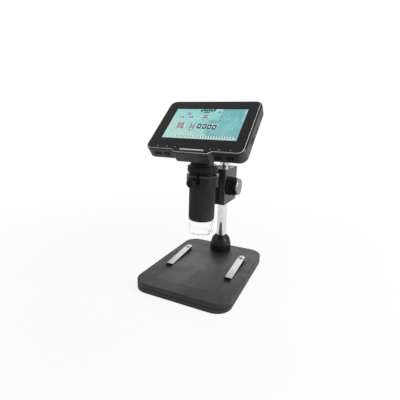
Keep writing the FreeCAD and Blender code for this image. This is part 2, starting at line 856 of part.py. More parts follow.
def rail_outline(play):
    """Half of the dovetail on each side, wider inside than at its mouth."""
    half = "rail_half + %s" % play
    wide = "rail_half + rail_flare + %s" % play
    return [
        ("-(%s)" % half, "rail_front"), (half, "rail_front"), (half, "rail_front + rail_neck"),
        (wide, "rail_back + %s" % play), ("-(%s)" % wide, "rail_back + %s" % play),
        ("-(%s)" % half, "rail_front + rail_neck"),
    ]


def block_housing():
    item = body("block_housing")
    box(item, ("-block_half", "block_half"), ("block_front", "block_back"), ("block_low", "block_top"))
    soften(item, upright, "block_round")
    prism(item, "XY", rail_outline("rail_play"), "block_low", "block_height", cutting=True)
    mouth = "rail_half + rail_play"
    box(item, ("-(%s)" % mouth, mouth), ("block_front", "rail_front"), ("block_low", "block_top"),
        cutting=True)
    channel = "rack_half + pinion_room"
    box(item, ("-(%s)" % channel, channel), ("rail_back", "rack_tip + part_gap"), ("block_low", "block_top"),
        cutting=True)
    rod(item, "YZ", [("knob_y", "knob_z")], "pinion_tip + part_gap", "-(pinion_half + pinion_room)",
        "pinion_half + pinion_room", cutting=True)
    rod(item, "YZ", [("knob_y", "knob_z")], "shaft_radius + run_play", "-block_half", "block_half",
        cutting=True)
    rod(item, "XY", [("0", "pole_y")], "sleeve_radius + run_play", "block_low", "block_top", cutting=True)
    rod(item, "YZ", [("pole_y", "lock_z")], "lock_radius + run_play", "-block_half", "-sleeve_radius / 2",
        cutting=True)
    for z in ("block_low + gib_inset", "block_top - gib_inset"):
        rod(item, "YZ", [("rail_back - rail_depth / 3", z)], "gib_radius", "-block_half",
            "-block_half + gib_length", cutting=True)


def gib_screws():
    """Grub screws that take up the slack of the dovetail."""
    item = body("gib_screws")
    centres = [("rail_back - rail_depth / 3", z) for z in ("block_low + gib_inset", "block_top - gib_inset")]
    rod(item, "YZ", centres, "gib_radius", "-block_half + part_gap", "-block_half + gib_length")
    for y, z in centres:
        points = [("%s + gib_radius / 2 * cos(60 * %d)" % (y, side), "%s + gib_radius / 2 * sin(60 * %d)"
                   % (z, side)) for side in range(6)]
        prism(item, "YZ", points, "-block_half + part_gap", "gib_radius", cutting=True)


def pole_sleeve():
    item = body("pole_sleeve", "pole")
    rod(item, "XY", [("0", "0")], "sleeve_radius", "block_low + sleeve_inset", "block_top - sleeve_inset",
        bore="pole_radius + run_play")
    box(item, ("-sleeve_slit / 2", "sleeve_slit / 2"), ("0", "sleeve_radius + sleeve_slit"),
        ("block_low + sleeve_inset", "block_top - sleeve_inset"), cutting=True)


def slide_rail():
    item = body("slide_rail")
    prism(item, "XY", rail_outline("0"), "block_low", "block_height")
    for z in arm_screw_heights():
        rod(item, "XZ", [("0", z)], "arm_screw_radius + screw_play", "rail_front", "rail_back", cutting=True)
        rod(item, "XZ", [("0", z)], "arm_screw_head + screw_play", "rail_back - arm_screw_radius * 2",
            "rail_back", cutting=True)


def arm_screw_heights():
    return ("ring_middle - arm_screw_spread", "ring_middle + arm_screw_spread")


def arm_screws():
    item = body("arm_screws")
    centres = [("0", z) for z in arm_screw_heights()]
    rod(item, "XZ", centres, "arm_screw_head", "rail_back - arm_screw_radius * 2", "rail_back")
    rod(item, "XZ", centres, "arm_screw_radius", "rail_front - arm_screw_bite",
        "rail_back - arm_screw_radius * 2")


def rack():
    """A toothed strip with one tooth level with the pinion's axis."""
    item = body("rack")
    pitch = "tooth_module * pi"
    box(item, ("-rack_half", "rack_half"), ("rail_back", "rack_root"), ("block_low", "block_top"))
    half_root = "(tooth_module * pi / 4 - tooth_slack / 2 + (pitch_line - rack_root) * tan(pressure_angle))"
    half_tip = "(tooth_module * pi / 4 - tooth_slack / 2 - (rack_tip - pitch_line) * tan(pressure_angle))"
    steps = int(size("(block_height / 2 - tooth_module * pi) / (tooth_module * pi)"))
    for step in range(-steps, steps + 1):
        z = "knob_z + %d * %s" % (step, pitch)
        tooth = [
            ("rack_root", "%s - %s" % (z, half_root)), ("rack_tip", "%s - %s" % (z, half_tip)),
            ("rack_tip", "%s + %s" % (z, half_tip)), ("rack_root", "%s + %s" % (z, half_root)),
        ]
        prism(item, "YZ", tooth, "-rack_half", "2 * rack_half")


def pinion_shaft():
    item = body("pinion_shaft", "knob")
    rod(item, "YZ", [("0", "0")], "shaft_radius", "-knob_outer", "knob_outer")
    half_root = "tooth_foot_share * 360 / pinion_teeth"
    half_tip = "tooth_crown_share * 360 / pinion_teeth"
    points = []
    for tooth in range(int(size("pinion_teeth"))):
        turn = "(%d + 0.5) * 360 / pinion_teeth + 180" % tooth
        for radius, sign, half in (("pinion_root", "-", half_root), ("pinion_tip", "-", half_tip),
                                   ("pinion_tip", "+", half_tip), ("pinion_root", "+", half_root)):
            angle = "(%s %s %s)" % (turn, sign, half)
            points.append(("%s * cos(%s)" % (radius, angle), "%s * sin(%s)" % (radius, angle)))
    prism(item, "YZ", points, "-pinion_half", "2 * pinion_half")


def focus_knob(name, side):
    """A tapered hand wheel on the end of the pinion shaft."""
    item = body(name, "knob")
    spin(item, [
        (side + "knob_inner", "shaft_radius"), (side + "knob_inner", "knob_radius - knob_bevel"),
        (side + "(knob_inner + knob_bevel)", "knob_radius"), (side + "knob_outer", "knob_end_radius"),
        (side + "knob_outer", "shaft_radius"),
    ], "H_Axis")


def knob_caps():
    item = body("knob_caps", "knob")
    radius = "knob_end_radius - part_gap"
    end = "knob_outer + knob_cap_thick"
    for side in ("", "-"):
        spin(item, [
            (side + "knob_outer", "0"), (side + "knob_outer", radius),
            (side + "(%s - knob_cap_bevel)" % end, radius),
            (side + "(%s)" % end, "%s - knob_cap_bevel" % radius), (side + "(%s)" % end, "0"),
        ], "H_Axis")


def lock_pad():
    item = body("lock_pad", "lock")
    rod(item, "YZ", [("0", "0")], "lock_radius", "-(sleeve_radius + pad_gap + pad_thick)",
        "-(sleeve_radius + pad_gap)")


def lock_screw():
    item = body("lock_screw", "lock")
    rod(item, "YZ", [("0", "0")], "lock_radius", "-(block_half + lock_knob_gap)",
        "-(sleeve_radius + pad_gap + pad_thick)")
    grip(item, "YZ", "lock_knob_radius", "-(block_half + lock_knob_gap + lock_knob_length)",
         "-(block_half + lock_knob_gap)")


def grip(item, plane, radius, start, end):
    """A short round thumb grip with bevelled ends."""
    rod(item, plane, [("0", "0")], radius, start, end)
    wide = "2 * (%s)" % radius
    soften(item, lambda edge: near(edge.BoundBox.ZLength, wide), "knob_bevel", bevel=True)


# Holder


def holder_arm():
    """The ring round the barrel, its screw boss and the arm back to the rail."""
    item = body("holder_arm")
    slab(item, ("-boss_half", "boss_half"), ("optic_y - boss_front", "optic_y"), "knob_bevel",
         ("ring_low", "ring_top"))
    box(item, ("-rail_half", "rail_half"), ("optic_y", "rail_front"), ("ring_low", "ring_top"))
    rod(item, "XY", [("0", "optic_y")], "ring_radius", "ring_low", "ring_top")
    rod(item, "XY", [("0", "optic_y")], "ring_bore", "ring_low", "ring_top", cutting=True)
    rod(item, "XZ", [("0", "ring_middle + ring_screw_lift")], "ring_screw_radius + run_play",
        "optic_y - boss_front", "optic_y", cutting=True)
    for z in arm_screw_heights():
        rod(item, "XZ", [("0", z)], "arm_screw_radius + screw_play", "rail_front - arm_screw_bite",
            "rail_front", cutting=True)


def ring_pad():
    item = body("ring_pad", "ring_screw")
    rod(item, "XZ", [("0", "0")], "ring_screw_radius", "-(liner_radius + pad_gap + pad_thick)",
        "-(liner_radius + pad_gap)")


def ring_screw():
    item = body("ring_screw", "ring_screw")
    rod(item, "XZ", [("0", "0")], "ring_screw_radius", "-(boss_front + ring_knob_gap)",
        "-(liner_radius + pad_gap + pad_thick)")
    grip(item, "XZ", "ring_knob_radius", "-(boss_front + ring_knob_gap + ring_knob_length)",
         "-(boss_front + ring_knob_gap)")


def ring_liner():
    """A split bush between the ring and the barrel, hung by its flange."""
    item = body("ring_liner", "barrel")
    rod(item, "XY", [("0", "0")], "liner_radius", "ring_low", "ring_top", bore="liner_bore")
    rod(item, "XY", [("0", "0")], "liner_flange_radius", "ring_top", "collar_low", bore="liner_bore")
    box(item, ("-liner_slit / 2", "liner_slit / 2"), ("0", "liner_flange_radius + liner_slit"),
        ("ring_low", "collar_low"), cutting=True)


# Barrel


def barrel_shell():
    item = body("barrel_shell", "barrel")
    spin(item, [
        ("barrel_foot_bore", "barrel_low"), ("barrel_radius - barrel_round", "barrel_low"),
        ("barrel_radius", "barrel_low + barrel_round_rise"), ("barrel_radius", "collar_low"),
        ("collar_radius", "collar_low"), ("collar_radius", "wheel_low"), ("tube_radius", "wheel_low"),
        ("tube_radius", "tube_top"), ("barrel_bore", "tube_top"), ("barrel_bore", "led_board_top"),
        ("barrel_foot_bore", "led_board_top"),
    ])
    slot = "pin_radius + pin_play"
    box(item, ("-(%s)" % slot, slot), ("barrel_bore - pin_radius", "tube_radius + pin_radius"),
        ("pin_z - cam_rise / 2 - pin_radius", "tube_top"), cutting=True)


def focus_wheel():
    """A ribbed ring with a helical cam groove inside, which lifts the lens carriage's pin."""
    item = doc.addObject("PartDesign::Body", "focus_wheel")
    item.Label = "focus_wheel"
    pieces.append(item)
    half_sweep = "cam_rise / cam_pitch * 180"
    place(item, FRAMES["barrel"], (FreeCAD.Vector(0, 0, 1), "90 - " + half_sweep))
    low, top = "wheel_low + wheel_play", "tube_top - wheel_play"
    rod(item, "XY", [("0", "0")], "wheel_radius", low, top, bore="wheel_bore")
    soften(item, lambda edge: near(edge.BoundBox.XLength, "2 * wheel_radius") and not upright(edge),
           "wheel_bevel", bevel=True)
    half = "pin_radius + pin_play"
    start = "pin_z - cam_rise / 2"
    drawing = sketch(item, "XZ", "0")
    outline(drawing, [
        ("wheel_bore - cam_depth", "%s - (%s)" % (start, half)), ("cam_reach", "%s - (%s)" % (start, half)),
        ("cam_reach", "%s + %s" % (start, half)), ("wheel_bore - cam_depth", "%s + %s" % (start, half)),
    ])
    before = item.Shape.Volume
    groove = item.newObject("PartDesign::SubtractiveHelix", "CamGroove")
    groove.Profile = drawing
    groove.ReferenceAxis = (drawing, ["V_Axis"])
    groove.Mode = "pitch-height-angle"
    groove.setExpression("Pitch", bound("cam_pitch"))
    groove.setExpression("Height", bound("cam_rise"))
    finish(item, groove, before, True)
    rib = rod(item, "XY", [("wheel_radius + wheel_rib_radius / 3", "0")], "wheel_rib_radius", low, top,
              cutting=True)
    ring = item.newObject("PartDesign::PolarPattern", "Ribs")
    ring.Originals = [rib]
    ring.Axis = (origin_part(item, "Z_Axis"), [""])
    ring.Angle = 360
    ring.setExpression("Occurrences", bound("wheel_ribs"))
    item.Tip = ring
    doc.recompute()


def lens_carriage():
    item = body("lens_carriage", "barrel")
    top = "pin_z + pin_radius + carriage_crown"
    spin(item, [
        ("cell_radius + lens_play", "carriage_low"), ("carriage_radius", "carriage_low"),
        ("carriage_radius", top), ("carriage_inner", top),
        ("carriage_inner", "carriage_low + carriage_web"),
        ("cell_radius + lens_play", "carriage_low + carriage_web"),
    ])
    box(item, ("-cable_room", "cable_room"), ("-carriage_radius - cable_room", "-carriage_inner + pin_inset"),
        ("carriage_low", top), cutting=True)
    rod(item, "XZ", [("0", "pin_z")], "pin_radius", "carriage_inner - pin_radius",
        "carriage_radius + pin_radius", cutting=True)


def focus_pin():
    item = body("focus_pin", "barrel")
    rod(item, "XZ", [("0", "pin_z")], "pin_radius", "carriage_inner + pin_inset", "cam_reach - pin_inset")


def lens_cell():
    item = body("lens_cell", "barrel")
    spin(item, [
        ("cell_bore", "cell_low"), ("cell_radius", "cell_low"),
        ("cell_radius", "carriage_low - cell_shoulder"),
        ("cell_radius + cell_shoulder", "carriage_low - cell_shoulder"),
        ("cell_radius + cell_shoulder", "carriage_low"), ("cell_radius", "carriage_low"),
        ("cell_radius", "cell_top"), ("cell_bore", "cell_top"),
    ])


def lens(name, z):
    """A disc of glass with two round faces."""
    disc = doc.addObject("Part::Cylinder", name + "_disc")
    disc.setExpression("Radius", bound("cell_bore - lens_play"))
    disc.setExpression("Height", bound("lens_thick"))
    place(disc, ("0", "optic_y", z))
    parts = [disc]
    for label, centre in (("_upper", "%s + lens_thick - lens_curve" % z), ("_lower", "%s + lens_curve" % z)):
        ball = doc.addObject("Part::Sphere", name + label)
        ball.setExpression("Radius", bound("lens_curve"))
        place(ball, ("0", "optic_y", centre))
        parts.append(ball)
    glass = doc.addObject("Part::MultiCommon", name)
    glass.Shapes = parts
    return glass


def lenses():
    group = doc.addObject("Part::Compound", "lenses")
    group.Label = "lenses"
    group.Links = [lens("front_lens", "cell_low + front_lens_inset"),
                   lens("rear_lens", "cell_top - rear_lens_inset - lens_thick")]
    pieces.append(group)


def led_board():
    item = body("led_board", "barrel")
    rod(item, "XY", [("0", "0")], "led_board_radius", "led_board_low", "led_board_top", bore="led_board_bore")


def leds():
    item = body("leds", "barrel")
    turns = ["360 * %d / led_count" % index for index in range(int(size("led_count")))]
    centres = [("led_circle * cos(%s)" % turn, "led_circle * sin(%s)" % turn) for turn in turns]
    rod(item, "XY", centres, "led_radius", "led_board_low - led_height", "led_board_low")


def led_cable():
    """A flat lead from the lamp board up the bore to the sensor board."""
    item = body("led_cable", "barrel")
    outer = "-barrel_bore + cable_thick / 2"
    inner = outer + " + cable_thick"
    bend = "pin_z - pin_radius"
    end = "neck_front - optic_y + neck_end_wall + neck_hole_front"
    prism(item, "YZ", [
        (outer, "led_board_top"), (inner, "led_board_top"), (inner, bend),
        (end + " + cable_thick", "neck_low"), (end + " + cable_thick", "neck_floor"), (end, "neck_floor"),
        (end, "neck_low"), (outer, bend),
    ], "-led_cable_half", "2 * led_cable_half")


def nose_cover():
    """The clear cap round the lamps. Its spigot pushes into the barrel's foot."""
    item = body("nose_cover", "barrel")
    spigot = "barrel_foot_bore - run_play"
    throat = "%s - nose_spigot_wall" % spigot
    top = "barrel_low - nose_gap"
    spin(item, [
        ("nose_mouth", "nose_low"), ("nose_radius - nose_bevel", "nose_low"),
        ("nose_radius", "nose_low + nose_bevel"), ("nose_radius", top), (spigot, top),
        (spigot, "led_board_low - nose_gap"), (throat, "led_board_low - nose_gap"),
        (throat, "%s - nose_wall" % top), ("nose_radius - nose_wall", "%s - 2 * nose_wall" % top),
        ("nose_radius - nose_wall", "nose_low + nose_bevel + nose_wall / 2"),
        ("nose_radius - nose_bevel - nose_wall / 2", "nose_low + nose_wall"),
        ("nose_mouth", "nose_low + nose_wall"),
    ])


# Neck


def rear_height(y):
    """Height of the housing's back plane above a place on the Y axis."""
    return "(rear_z + (%s - (rear_y)) * tan(screen_lean))" % y


def neck():
    item = body("neck")
    points = [("neck_front", "neck_low"), ("neck_back", "neck_low"), ("neck_back", rear_height("neck_back")),
              ("neck_front", rear_height("neck_front"))]
    prism(item, "YZ", points, "-neck_half", "2 * neck_half")
    soften(item, upright, "neck_round")
    rod(item, "XY", [("0", "optic_y")], "neck_flange_radius", "neck_low", "neck_floor")
    front, back = "neck_front + neck_end_wall", "neck_back - neck_end_wall"
    points = [(front, "neck_floor"), (back, "neck_floor"), (back, rear_height(back)),
              (front, rear_height(front))]
    prism(item, "YZ", points, "-neck_half + neck_wall", "2 * (neck_half - neck_wall)", cutting=True)
    box(item, ("-neck_hole_half", "neck_hole_half"), (front + " + neck_hole_front - part_gap",
        back + " - neck_hole_back"), ("neck_low", "neck_floor"), cutting=True)
    drill_neck(item)


def drill_neck(item):
    """Pilot holes square to the housing's back plane, for the neck's screws."""
    drawing = item.newObject("Sketcher::SketchObject", "ScrewHoles")
    drawing.AttachmentSupport = [(origin_part(item, "XY_Plane"), "")]
    drawing.MapMode = "FlatFace"
    turn = FreeCAD.Rotation(FreeCAD.Vector(1, 0, 0), size("screen_lean"))
    drawing.AttachmentOffset = FreeCAD.Placement(FreeCAD.Vector(0, 0, 0), turn)
    drawing.setExpression("AttachmentOffset.Base.y", bound("rear_y"))
    drawing.setExpression("AttachmentOffset.Base.z", bound("rear_z"))
    drawing.setExpression("AttachmentOffset.Rotation.Angle", bound("screen_lean"))
    for x, y in neck_screw_places():
        circle(drawing, x, y, "neck_screw_radius + screw_play")
    before = item.Shape.Volume
    hole = item.newObject("PartDesign::Pocket", "Pilot")
    hole.Profile = drawing
    hole.setExpression("Length", bound("neck_screw_length"))
    finish(item, hole, before, True)


def neck_screw_places():
    x = "neck_half - neck_wall / 2"
    return both(x, "neck_screw_low") + both(x, "neck_screw_top")


def neck_screws():
    item = body("neck_screws", "screen")
    rod(item, "XY", neck_screw_places(), "neck_screw_head", "-case_inside",
        "-case_inside + neck_screw_head_height")
    rod(item, "XY", neck_screw_places(), "neck_screw_radius", "-case_depth - neck_screw_length + part_gap",
        "-case_inside")


def sensor_board():
    item = body("sensor_board")
    box(item, ("-neck_half + neck_wall + part_gap", "neck_half - neck_wall - part_gap"),
        ("neck_front + neck_end_wall + part_gap", "neck_back - neck_end_wall - part_gap"),
        ("neck_floor", "neck_floor + sensor_board_thick"))


def image_sensor():
    item = body("image_sensor", "barrel")
    box(item, ("-sensor_half", "sensor_half"), ("-sensor_half", "sensor_half"), ("neck_low", "neck_floor"))


def sensor_cable():
    """A flat lead from the sensor board to the back of the main board."""
    item = body("sensor_cable")
    foot = "rear_y + cable_v * cos(screen_lean)"
    bend = "rear_z + cable_v * sin(screen_lean)"
    run = "(case_depth - board_back)"
    end_y = "%s - %s * sin(screen_lean)" % (foot, run)
    end_z = "%s + %s * cos(screen_lean)" % (bend, run)
    prism(item, "YZ", [
        (foot, "neck_floor + sensor_board_thick"),
        (foot + " + cable_thick", "neck_floor + sensor_board_thick"),
        (foot + " + cable_thick", bend + " + cable_thick * tan(screen_lean / 2)"),
        (end_y + " + cable_thick * cos(screen_lean)", end_z + " + cable_thick * sin(screen_lean)"),
        (end_y, end_z), (foot, bend),
    ], "-sensor_cable_half", "2 * sensor_cable_half")


# Screen housing. Its own frame has X across, Y up the screen and Z out of the glass.


def case_block(item, inset, low_inset, start, end, cutting=False):
    """The outline with its chin, drawn in by one inset round the sides and top and one below."""
    corner = "(case_corner - %s)" % inset
    side, low = "case_half - %s" % inset, "case_bottom + %s" % low_inset
    chin, foot = "chin_half - %s / 4" % low_inset, "case_bottom - chin_drop + %s" % low_inset
    top = "case_top - %s" % inset
    half = [(chin, foot), (chin + " + chin_slope", low), ("%s - %s" % (side, corner), low),
            (side, "%s + %s" % (low, corner)), (side, "%s - %s" % (top, corner)),
            ("%s - %s" % (side, corner), top)]
    points = half + [("-(%s)" % x, y) for x, y in reversed(half)]
    drawing = sketch(item, "XY", start)
    outline(drawing, points, {2: -90, 4: 0, 6: 90, 8: 180}, corner)
    return extrude(item, drawing, "XY", "%s - (%s)" % (end, start), cutting)


def ease_chin(item, start):
    """Rounds the chin's edges that stand on a level, square to the screen."""
    def standing(edge):
        ends = [item.Placement.inverse().multVec(vertex.Point) for vertex in edge.Vertexes]
        return len(ends) == 2 and near(min(end.z for end in ends), start) and (
            abs(ends[0].z - ends[1].z) > size("glass_proud")
            and math.hypot(ends[0].x - ends[1].x, ends[0].y - ends[1].y) < 0.01
            and abs(ends[0].x) < size("case_half / 2"))
    soften(item, standing, "chin_drop / 2")


def flat_at(item, edge, level):
    ends = [item.Placement.inverse().multVec(vertex.Point).z for vertex in edge.Vertexes]
    return all(near(end, level) for end in ends) and near(local(item, edge).z, level)


def front_bezel():
    item = body("front_bezel", "screen")
    case_block(item, "0", "0", "-bezel_depth", "-glass_proud")
    ease_chin(item, "-bezel_depth")
    soften(item, lambda edge: flat_at(item, edge, "-glass_proud"), "bezel_round")
    case_block(item, "(glass_inset - glass_gap)", "(glass_low_inset - glass_gap)", "-glass_back",
               "-glass_proud", cutting=True)
    ease_chin(item, "-glass_back")
    box(item, ("-view_half", "view_half"), ("-view_height", "view_height"), ("-web_back", "-glass_back"),
        cutting=True)
    slab(item, ("-case_half + case_wall", "case_half - case_wall"),
         ("case_bottom + case_wall", "case_top - case_wall"), "case_corner - case_wall",
         ("-bezel_depth", "-web_back"), cutting=True)
    rod(item, "XY", case_posts(), "post_radius", "-post_split", "-web_back")
    rod(item, "XY", case_posts(), "case_screw_radius + screw_play", "-post_split", "-bezel_depth",
        cutting=True)


def case_posts():
    return both("post_x", "post_top") + both("post_x", "post_low")


def screen_window():
    item = body("screen_window", "screen")
    case_block(item, "glass_inset", "glass_low_inset", "-glass_back", "0")
    ease_chin(item, "-glass_back")
    soften(item, lambda edge: flat_at(item, edge, "0"), "glass_bevel", bevel=True)
    box(item, ("-bar_half - bar_gap", "bar_half + bar_gap"),
        ("bar_v - bar_height / 2 - bar_gap", "bar_v + bar_height / 2 + bar_gap"), ("-bar_depth", "0"),
        cutting=True)


def trim_bar():
    item = body("trim_bar", "screen")
    box(item, ("-bar_half", "bar_half"), ("bar_v - bar_height / 2", "bar_v + bar_height / 2"),
        ("-bar_depth", "bar_proud"))


def lcd_panel():
    item = body("lcd_panel", "screen")
    box(item, ("-panel_half", "panel_half"), ("panel_low", "panel_low + panel_height"),
        ("-panel_back", "-web_back"))


def main_board():
    """The board and its larger chips."""
    item = body("main_board", "screen")
    box(item, ("-board_half", "board_right"), ("board_low", "board_top"), ("-board_back", "-board_front"))
    for left, right, low, high in CHIPS:
        box(item, (left, right), (low, high), ("-board_front", "-board_front + chip_height"))


def battery():
    item = body("battery", "screen")
    slab(item, ("-battery_half", "battery_half"), ("battery_low", "battery_low + battery_height"),
         "chip_height", ("-board_back - battery_thick", "-board_back"))


def rear_shell():
    item = body("rear_shell", "screen")
    case_block(item, "0", "0", "-case_depth", "-bezel_depth")
    ease_chin(item, "-case_depth")
    soften(item, lambda edge: flat_at(item, edge, "-case_depth"), "case_back_round")
    slab(item, ("-case_half + case_wall", "case_half - case_wall"),
         ("case_bottom + case_wall", "case_top - case_wall"), "case_corner - case_wall",
         ("-case_inside", "-bezel_depth"), cutting=True)
    rod(item, "XY", case_posts(), "post_radius", "-case_inside", "-post_split")
    boards = both("board_post_x", "board_post_low") + both("board_post_x", "board_post_top")
    rod(item, "XY", boards, "board_post_radius", "-case_inside", "-board_back")
    rod(item, "XY", case_posts(), "case_screw_radius + part_gap", "-case_depth", "-post_split", cutting=True)
    rod(item, "XY", case_posts(), "case_screw_head + part_gap", "-case_depth",
        "-case_depth + case_screw_head_depth", cutting=True)
    rod(item, "XY", neck_screw_places(), "neck_screw_radius + part_gap", "-case_depth", "-case_inside",
        cutting=True)
    box(item, ("-cable_hole_half", "cable_hole_half"), ("cable_hole_low", "cable_hole_top"),
        ("-case_depth", "-case_inside"), cutting=True)
    side_mouths(item)
    for x in button_places():
        half = "button_half + button_play"
        depth = "button_depth / 2 + button_play"
        box(item, ("%s - (%s)" % (x, half), "%s + %s" % (x, half)),
            ("case_bottom - chin_drop", "wall_inside"),
            ("-button_back - (%s)" % depth, "-button_back + %s" % depth), cutting=True)


def side_mouths(item):
    """Openings in the right wall for the sockets and the reset pin."""
    wall = ("case_half - case_wall", "case_half + case_wall")
    usb = "-board_front + usb_thick / 2"
    box(item, wall, ("usb_v - usb_mouth_half", "usb_v + usb_mouth_half"),
        (usb + " - usb_mouth_depth / 2", usb + " + usb_mouth_depth / 2"), cutting=True)
    card = "-board_back - card_thick / 2"
    box(item, wall, ("card_v - card_mouth_half", "card_v + card_mouth_half"),
        (card + " - card_mouth_depth / 2", card + " + card_mouth_depth / 2"), cutting=True)
    rod(item, "YZ", [("reset_v", "-reset_w")], "reset_radius", wall[0], wall[1], cutting=True)


def case_screws():
    item = body("case_screws", "screen")
    seat = "-case_depth + case_screw_head_depth"
    rod(item, "XY", case_posts(), "case_screw_head", "-case_depth + screw_play", seat)
    rod(item, "XY", case_posts(), "case_screw_radius", seat, "%s + case_screw_length - part_gap" % seat)
    crosses(item, case_posts(), "case_screw_head * recess_share", "-case_depth + screw_play",
            "-case_depth + screw_play + recess_depth")


def usb_socket():
    item = body("usb_socket", "screen")
    left, right = "case_half - socket_inset - usb_length", "case_half - socket_inset"
    box(item, (left, right), ("usb_v - usb_half", "usb_v + usb_half"),
        ("-board_front", "-board_front + usb_thick"))
    inner = "chip_height / 3"
    box(item, (left + " + usb_length / 4", right),
        ("usb_v - usb_half + " + inner, "usb_v + usb_half - " + inner),
        ("-board_front + " + inner, "-board_front + usb_thick - " + inner), cutting=True)


def card_socket():
    item = body("card_socket", "screen")
    left, right = "case_half - case_wall - card_length", "case_half - case_wall"
    box(item, (left, right), ("card_v - card_half", "card_v + card_half"),
        ("-board_back - card_thick", "-board_back"))
    inner = "chip_height / 3"
    box(item, (left + " + card_length / 6", right),
        ("card_v - card_half + " + inner, "card_v + card_half - " + inner),
        ("-board_back - card_thick + " + inner, "-board_back - " + inner), cutting=True)


def button_places():
    return ("power_x", "menu_x", "down_x", "up_x")


def button(name, x):
    """A key cap in the lower wall, kept in by its flange."""
    item = body(name, "screen")
    depth = "button_depth / 2"
    flange_low = "wall_inside + glass_gap"
    box(item, ("%s - button_half" % x, "%s + button_half" % x), ("case_bottom - button_proud", flange_low),
        ("-button_back - " + depth, "-button_back + " + depth))
    soften(item, lambda edge: along_screen(item, edge), "button_round")
    box(item, ("%s - button_half - button_flange" % x, "%s + button_half + button_flange" % x),
        (flange_low, flange_low + " + button_flange_thick"),
        ("-button_back - %s - button_flange" % depth, "-button_back + %s + button_flange" % depth))


def along_screen(item, edge):
    """True for a straight edge that runs up the screen."""
    ends = [item.Placement.inverse().multVec(vertex.Point) for vertex in edge.Vertexes]
    return len(ends) == 2 and abs(ends[0].x - ends[1].x) < 0.01 and abs(ends[0].z - ends[1].z) < 0.01


def button_switches():
    item = body("button_switches", "screen")
    low, high = "board_low - switch_height", "board_low"
    for x in button_places():
        box(item, ("%s - switch_half" % x, "%s + switch_half" % x), (low, high),
            ("-button_back - switch_depth / 2", "-button_back + switch_depth / 2"))
    rod(item, "XZ", [(x, "-button_back") for x in button_places()], "plunger_radius",
        low + " - plunger_length", low)


base_cover()
base_tray()
base_weight()
stage_plate()
base_feet()
base_screws()
clip("clip_right", "")
clip("clip_left", "-")
clip_spacers()
clip_screws()
pole_boot()
pole()
pole_bolt()
pole_cap()
block_housing()
gib_screws()
pole_sleeve()
slide_rail()
arm_screws()
rack()
pinion_shaft()
focus_knob("focus_knob_right", "")
focus_knob("focus_knob_left", "-")
knob_caps()
lock_pad()
lock_screw()
holder_arm()
ring_pad()
ring_screw()
ring_liner()
barrel_shell()
focus_wheel()
lens_carriage()
focus_pin()
lens_cell()
lenses()
led_board()
leds()
led_cable()
nose_cover()
neck()
neck_screws()
sensor_board()
image_sensor()
sensor_cable()
front_bezel()
screen_window()
trim_bar()
lcd_panel()
main_board()
battery()
rear_shell()
case_screws()
usb_socket()
card_socket()
for label, across_at in zip(("power_button", "menu_button", "down_button", "up_button"), button_places()):
    button(label, across_at)
button_switches()

doc.recompute()
for item in doc.Objects:
    if "Invalid" in item.State or "Error" in item.State:
        raise RuntimeError("%s is %s" % (item.Label, item.State))
for item in pieces:
    if item.Shape.isNull() or not item.Shape.isValid():
        raise RuntimeError("%s has no valid shape" % item.Label)

os.makedirs("parts", exist_ok=True)
for item in pieces:
    item.Shape.exportStep("parts/%s.step" % item.Label)
print(len(pieces), "pieces")
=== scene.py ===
import math

import bmesh
import bpy
from bpy.props import FloatProperty, FloatVectorProperty, IntProperty, PointerProperty
from mathutils import Matrix, Vector


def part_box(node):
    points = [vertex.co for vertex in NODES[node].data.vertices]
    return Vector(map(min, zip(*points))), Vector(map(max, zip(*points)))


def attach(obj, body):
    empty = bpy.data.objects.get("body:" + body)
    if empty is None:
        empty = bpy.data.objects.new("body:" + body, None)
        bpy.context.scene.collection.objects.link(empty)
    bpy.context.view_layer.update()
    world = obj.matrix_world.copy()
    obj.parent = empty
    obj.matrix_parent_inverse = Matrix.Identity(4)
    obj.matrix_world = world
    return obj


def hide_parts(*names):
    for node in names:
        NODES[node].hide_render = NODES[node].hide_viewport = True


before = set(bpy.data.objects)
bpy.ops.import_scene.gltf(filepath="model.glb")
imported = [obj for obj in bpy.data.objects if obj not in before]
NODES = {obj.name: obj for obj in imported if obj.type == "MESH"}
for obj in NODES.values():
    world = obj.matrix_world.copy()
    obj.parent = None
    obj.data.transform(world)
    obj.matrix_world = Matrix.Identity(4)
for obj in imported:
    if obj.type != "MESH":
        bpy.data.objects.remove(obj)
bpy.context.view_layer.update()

bl_info = {
    "name": "Digital Microscope",
    "version": (1, 0, 0),
    "blender": (4, 5, 0),
    "location": "View3D > Sidebar > Microscope",
    "description": "Finishes and fine parts of a digital microscope with its own screen",
    "category": "Object",
}

MM = 0.001
BARREL = Vector((0, -0.0166, 0))
PICTURE_MIDDLE = Vector((0, -0.01694, 0.20567))
TOOTH_PITCH = 3.3
LOOP_PLACES = ((-5.4, -5.2), (1.6, -5.6), (8.0, -6.0), (14.4, -6.4))
CLOSE = 1e-6
VALLEY = (0.3, 0.95)


def screen_frame():
    """The screen's own frame: X across, Y up the glass, Z out of it, zero at the picture's middle."""
    glass = max(NODES["screen_window"].data.polygons, key=lambda face: face.area * (face.normal.z > 0))
    out = glass.normal.normalized()
    up = out.cross(Vector((1, 0, 0))).normalized()
    leaned = Matrix((Vector((1, 0, 0)), up, out)).transposed()
    return Matrix.Translation(PICTURE_MIDDLE) @ leaned.to_4x4()


SCREEN = screen_frame()


def settings():
    return bpy.context.scene.microscope


# Shaping


def deselect():
    if bpy.context.object and bpy.context.object.mode == "EDIT":
        bpy.ops.object.mode_set(mode="OBJECT")
    bpy.ops.object.select_all(action="DESELECT")


def edit(piece, kind="FACE"):
    deselect()
    piece.select_set(True)
    bpy.context.view_layer.objects.active = piece
    bpy.ops.object.mode_set(mode="EDIT")
    bpy.ops.mesh.select_mode(type=kind)
    bpy.ops.mesh.select_all(action="DESELECT")


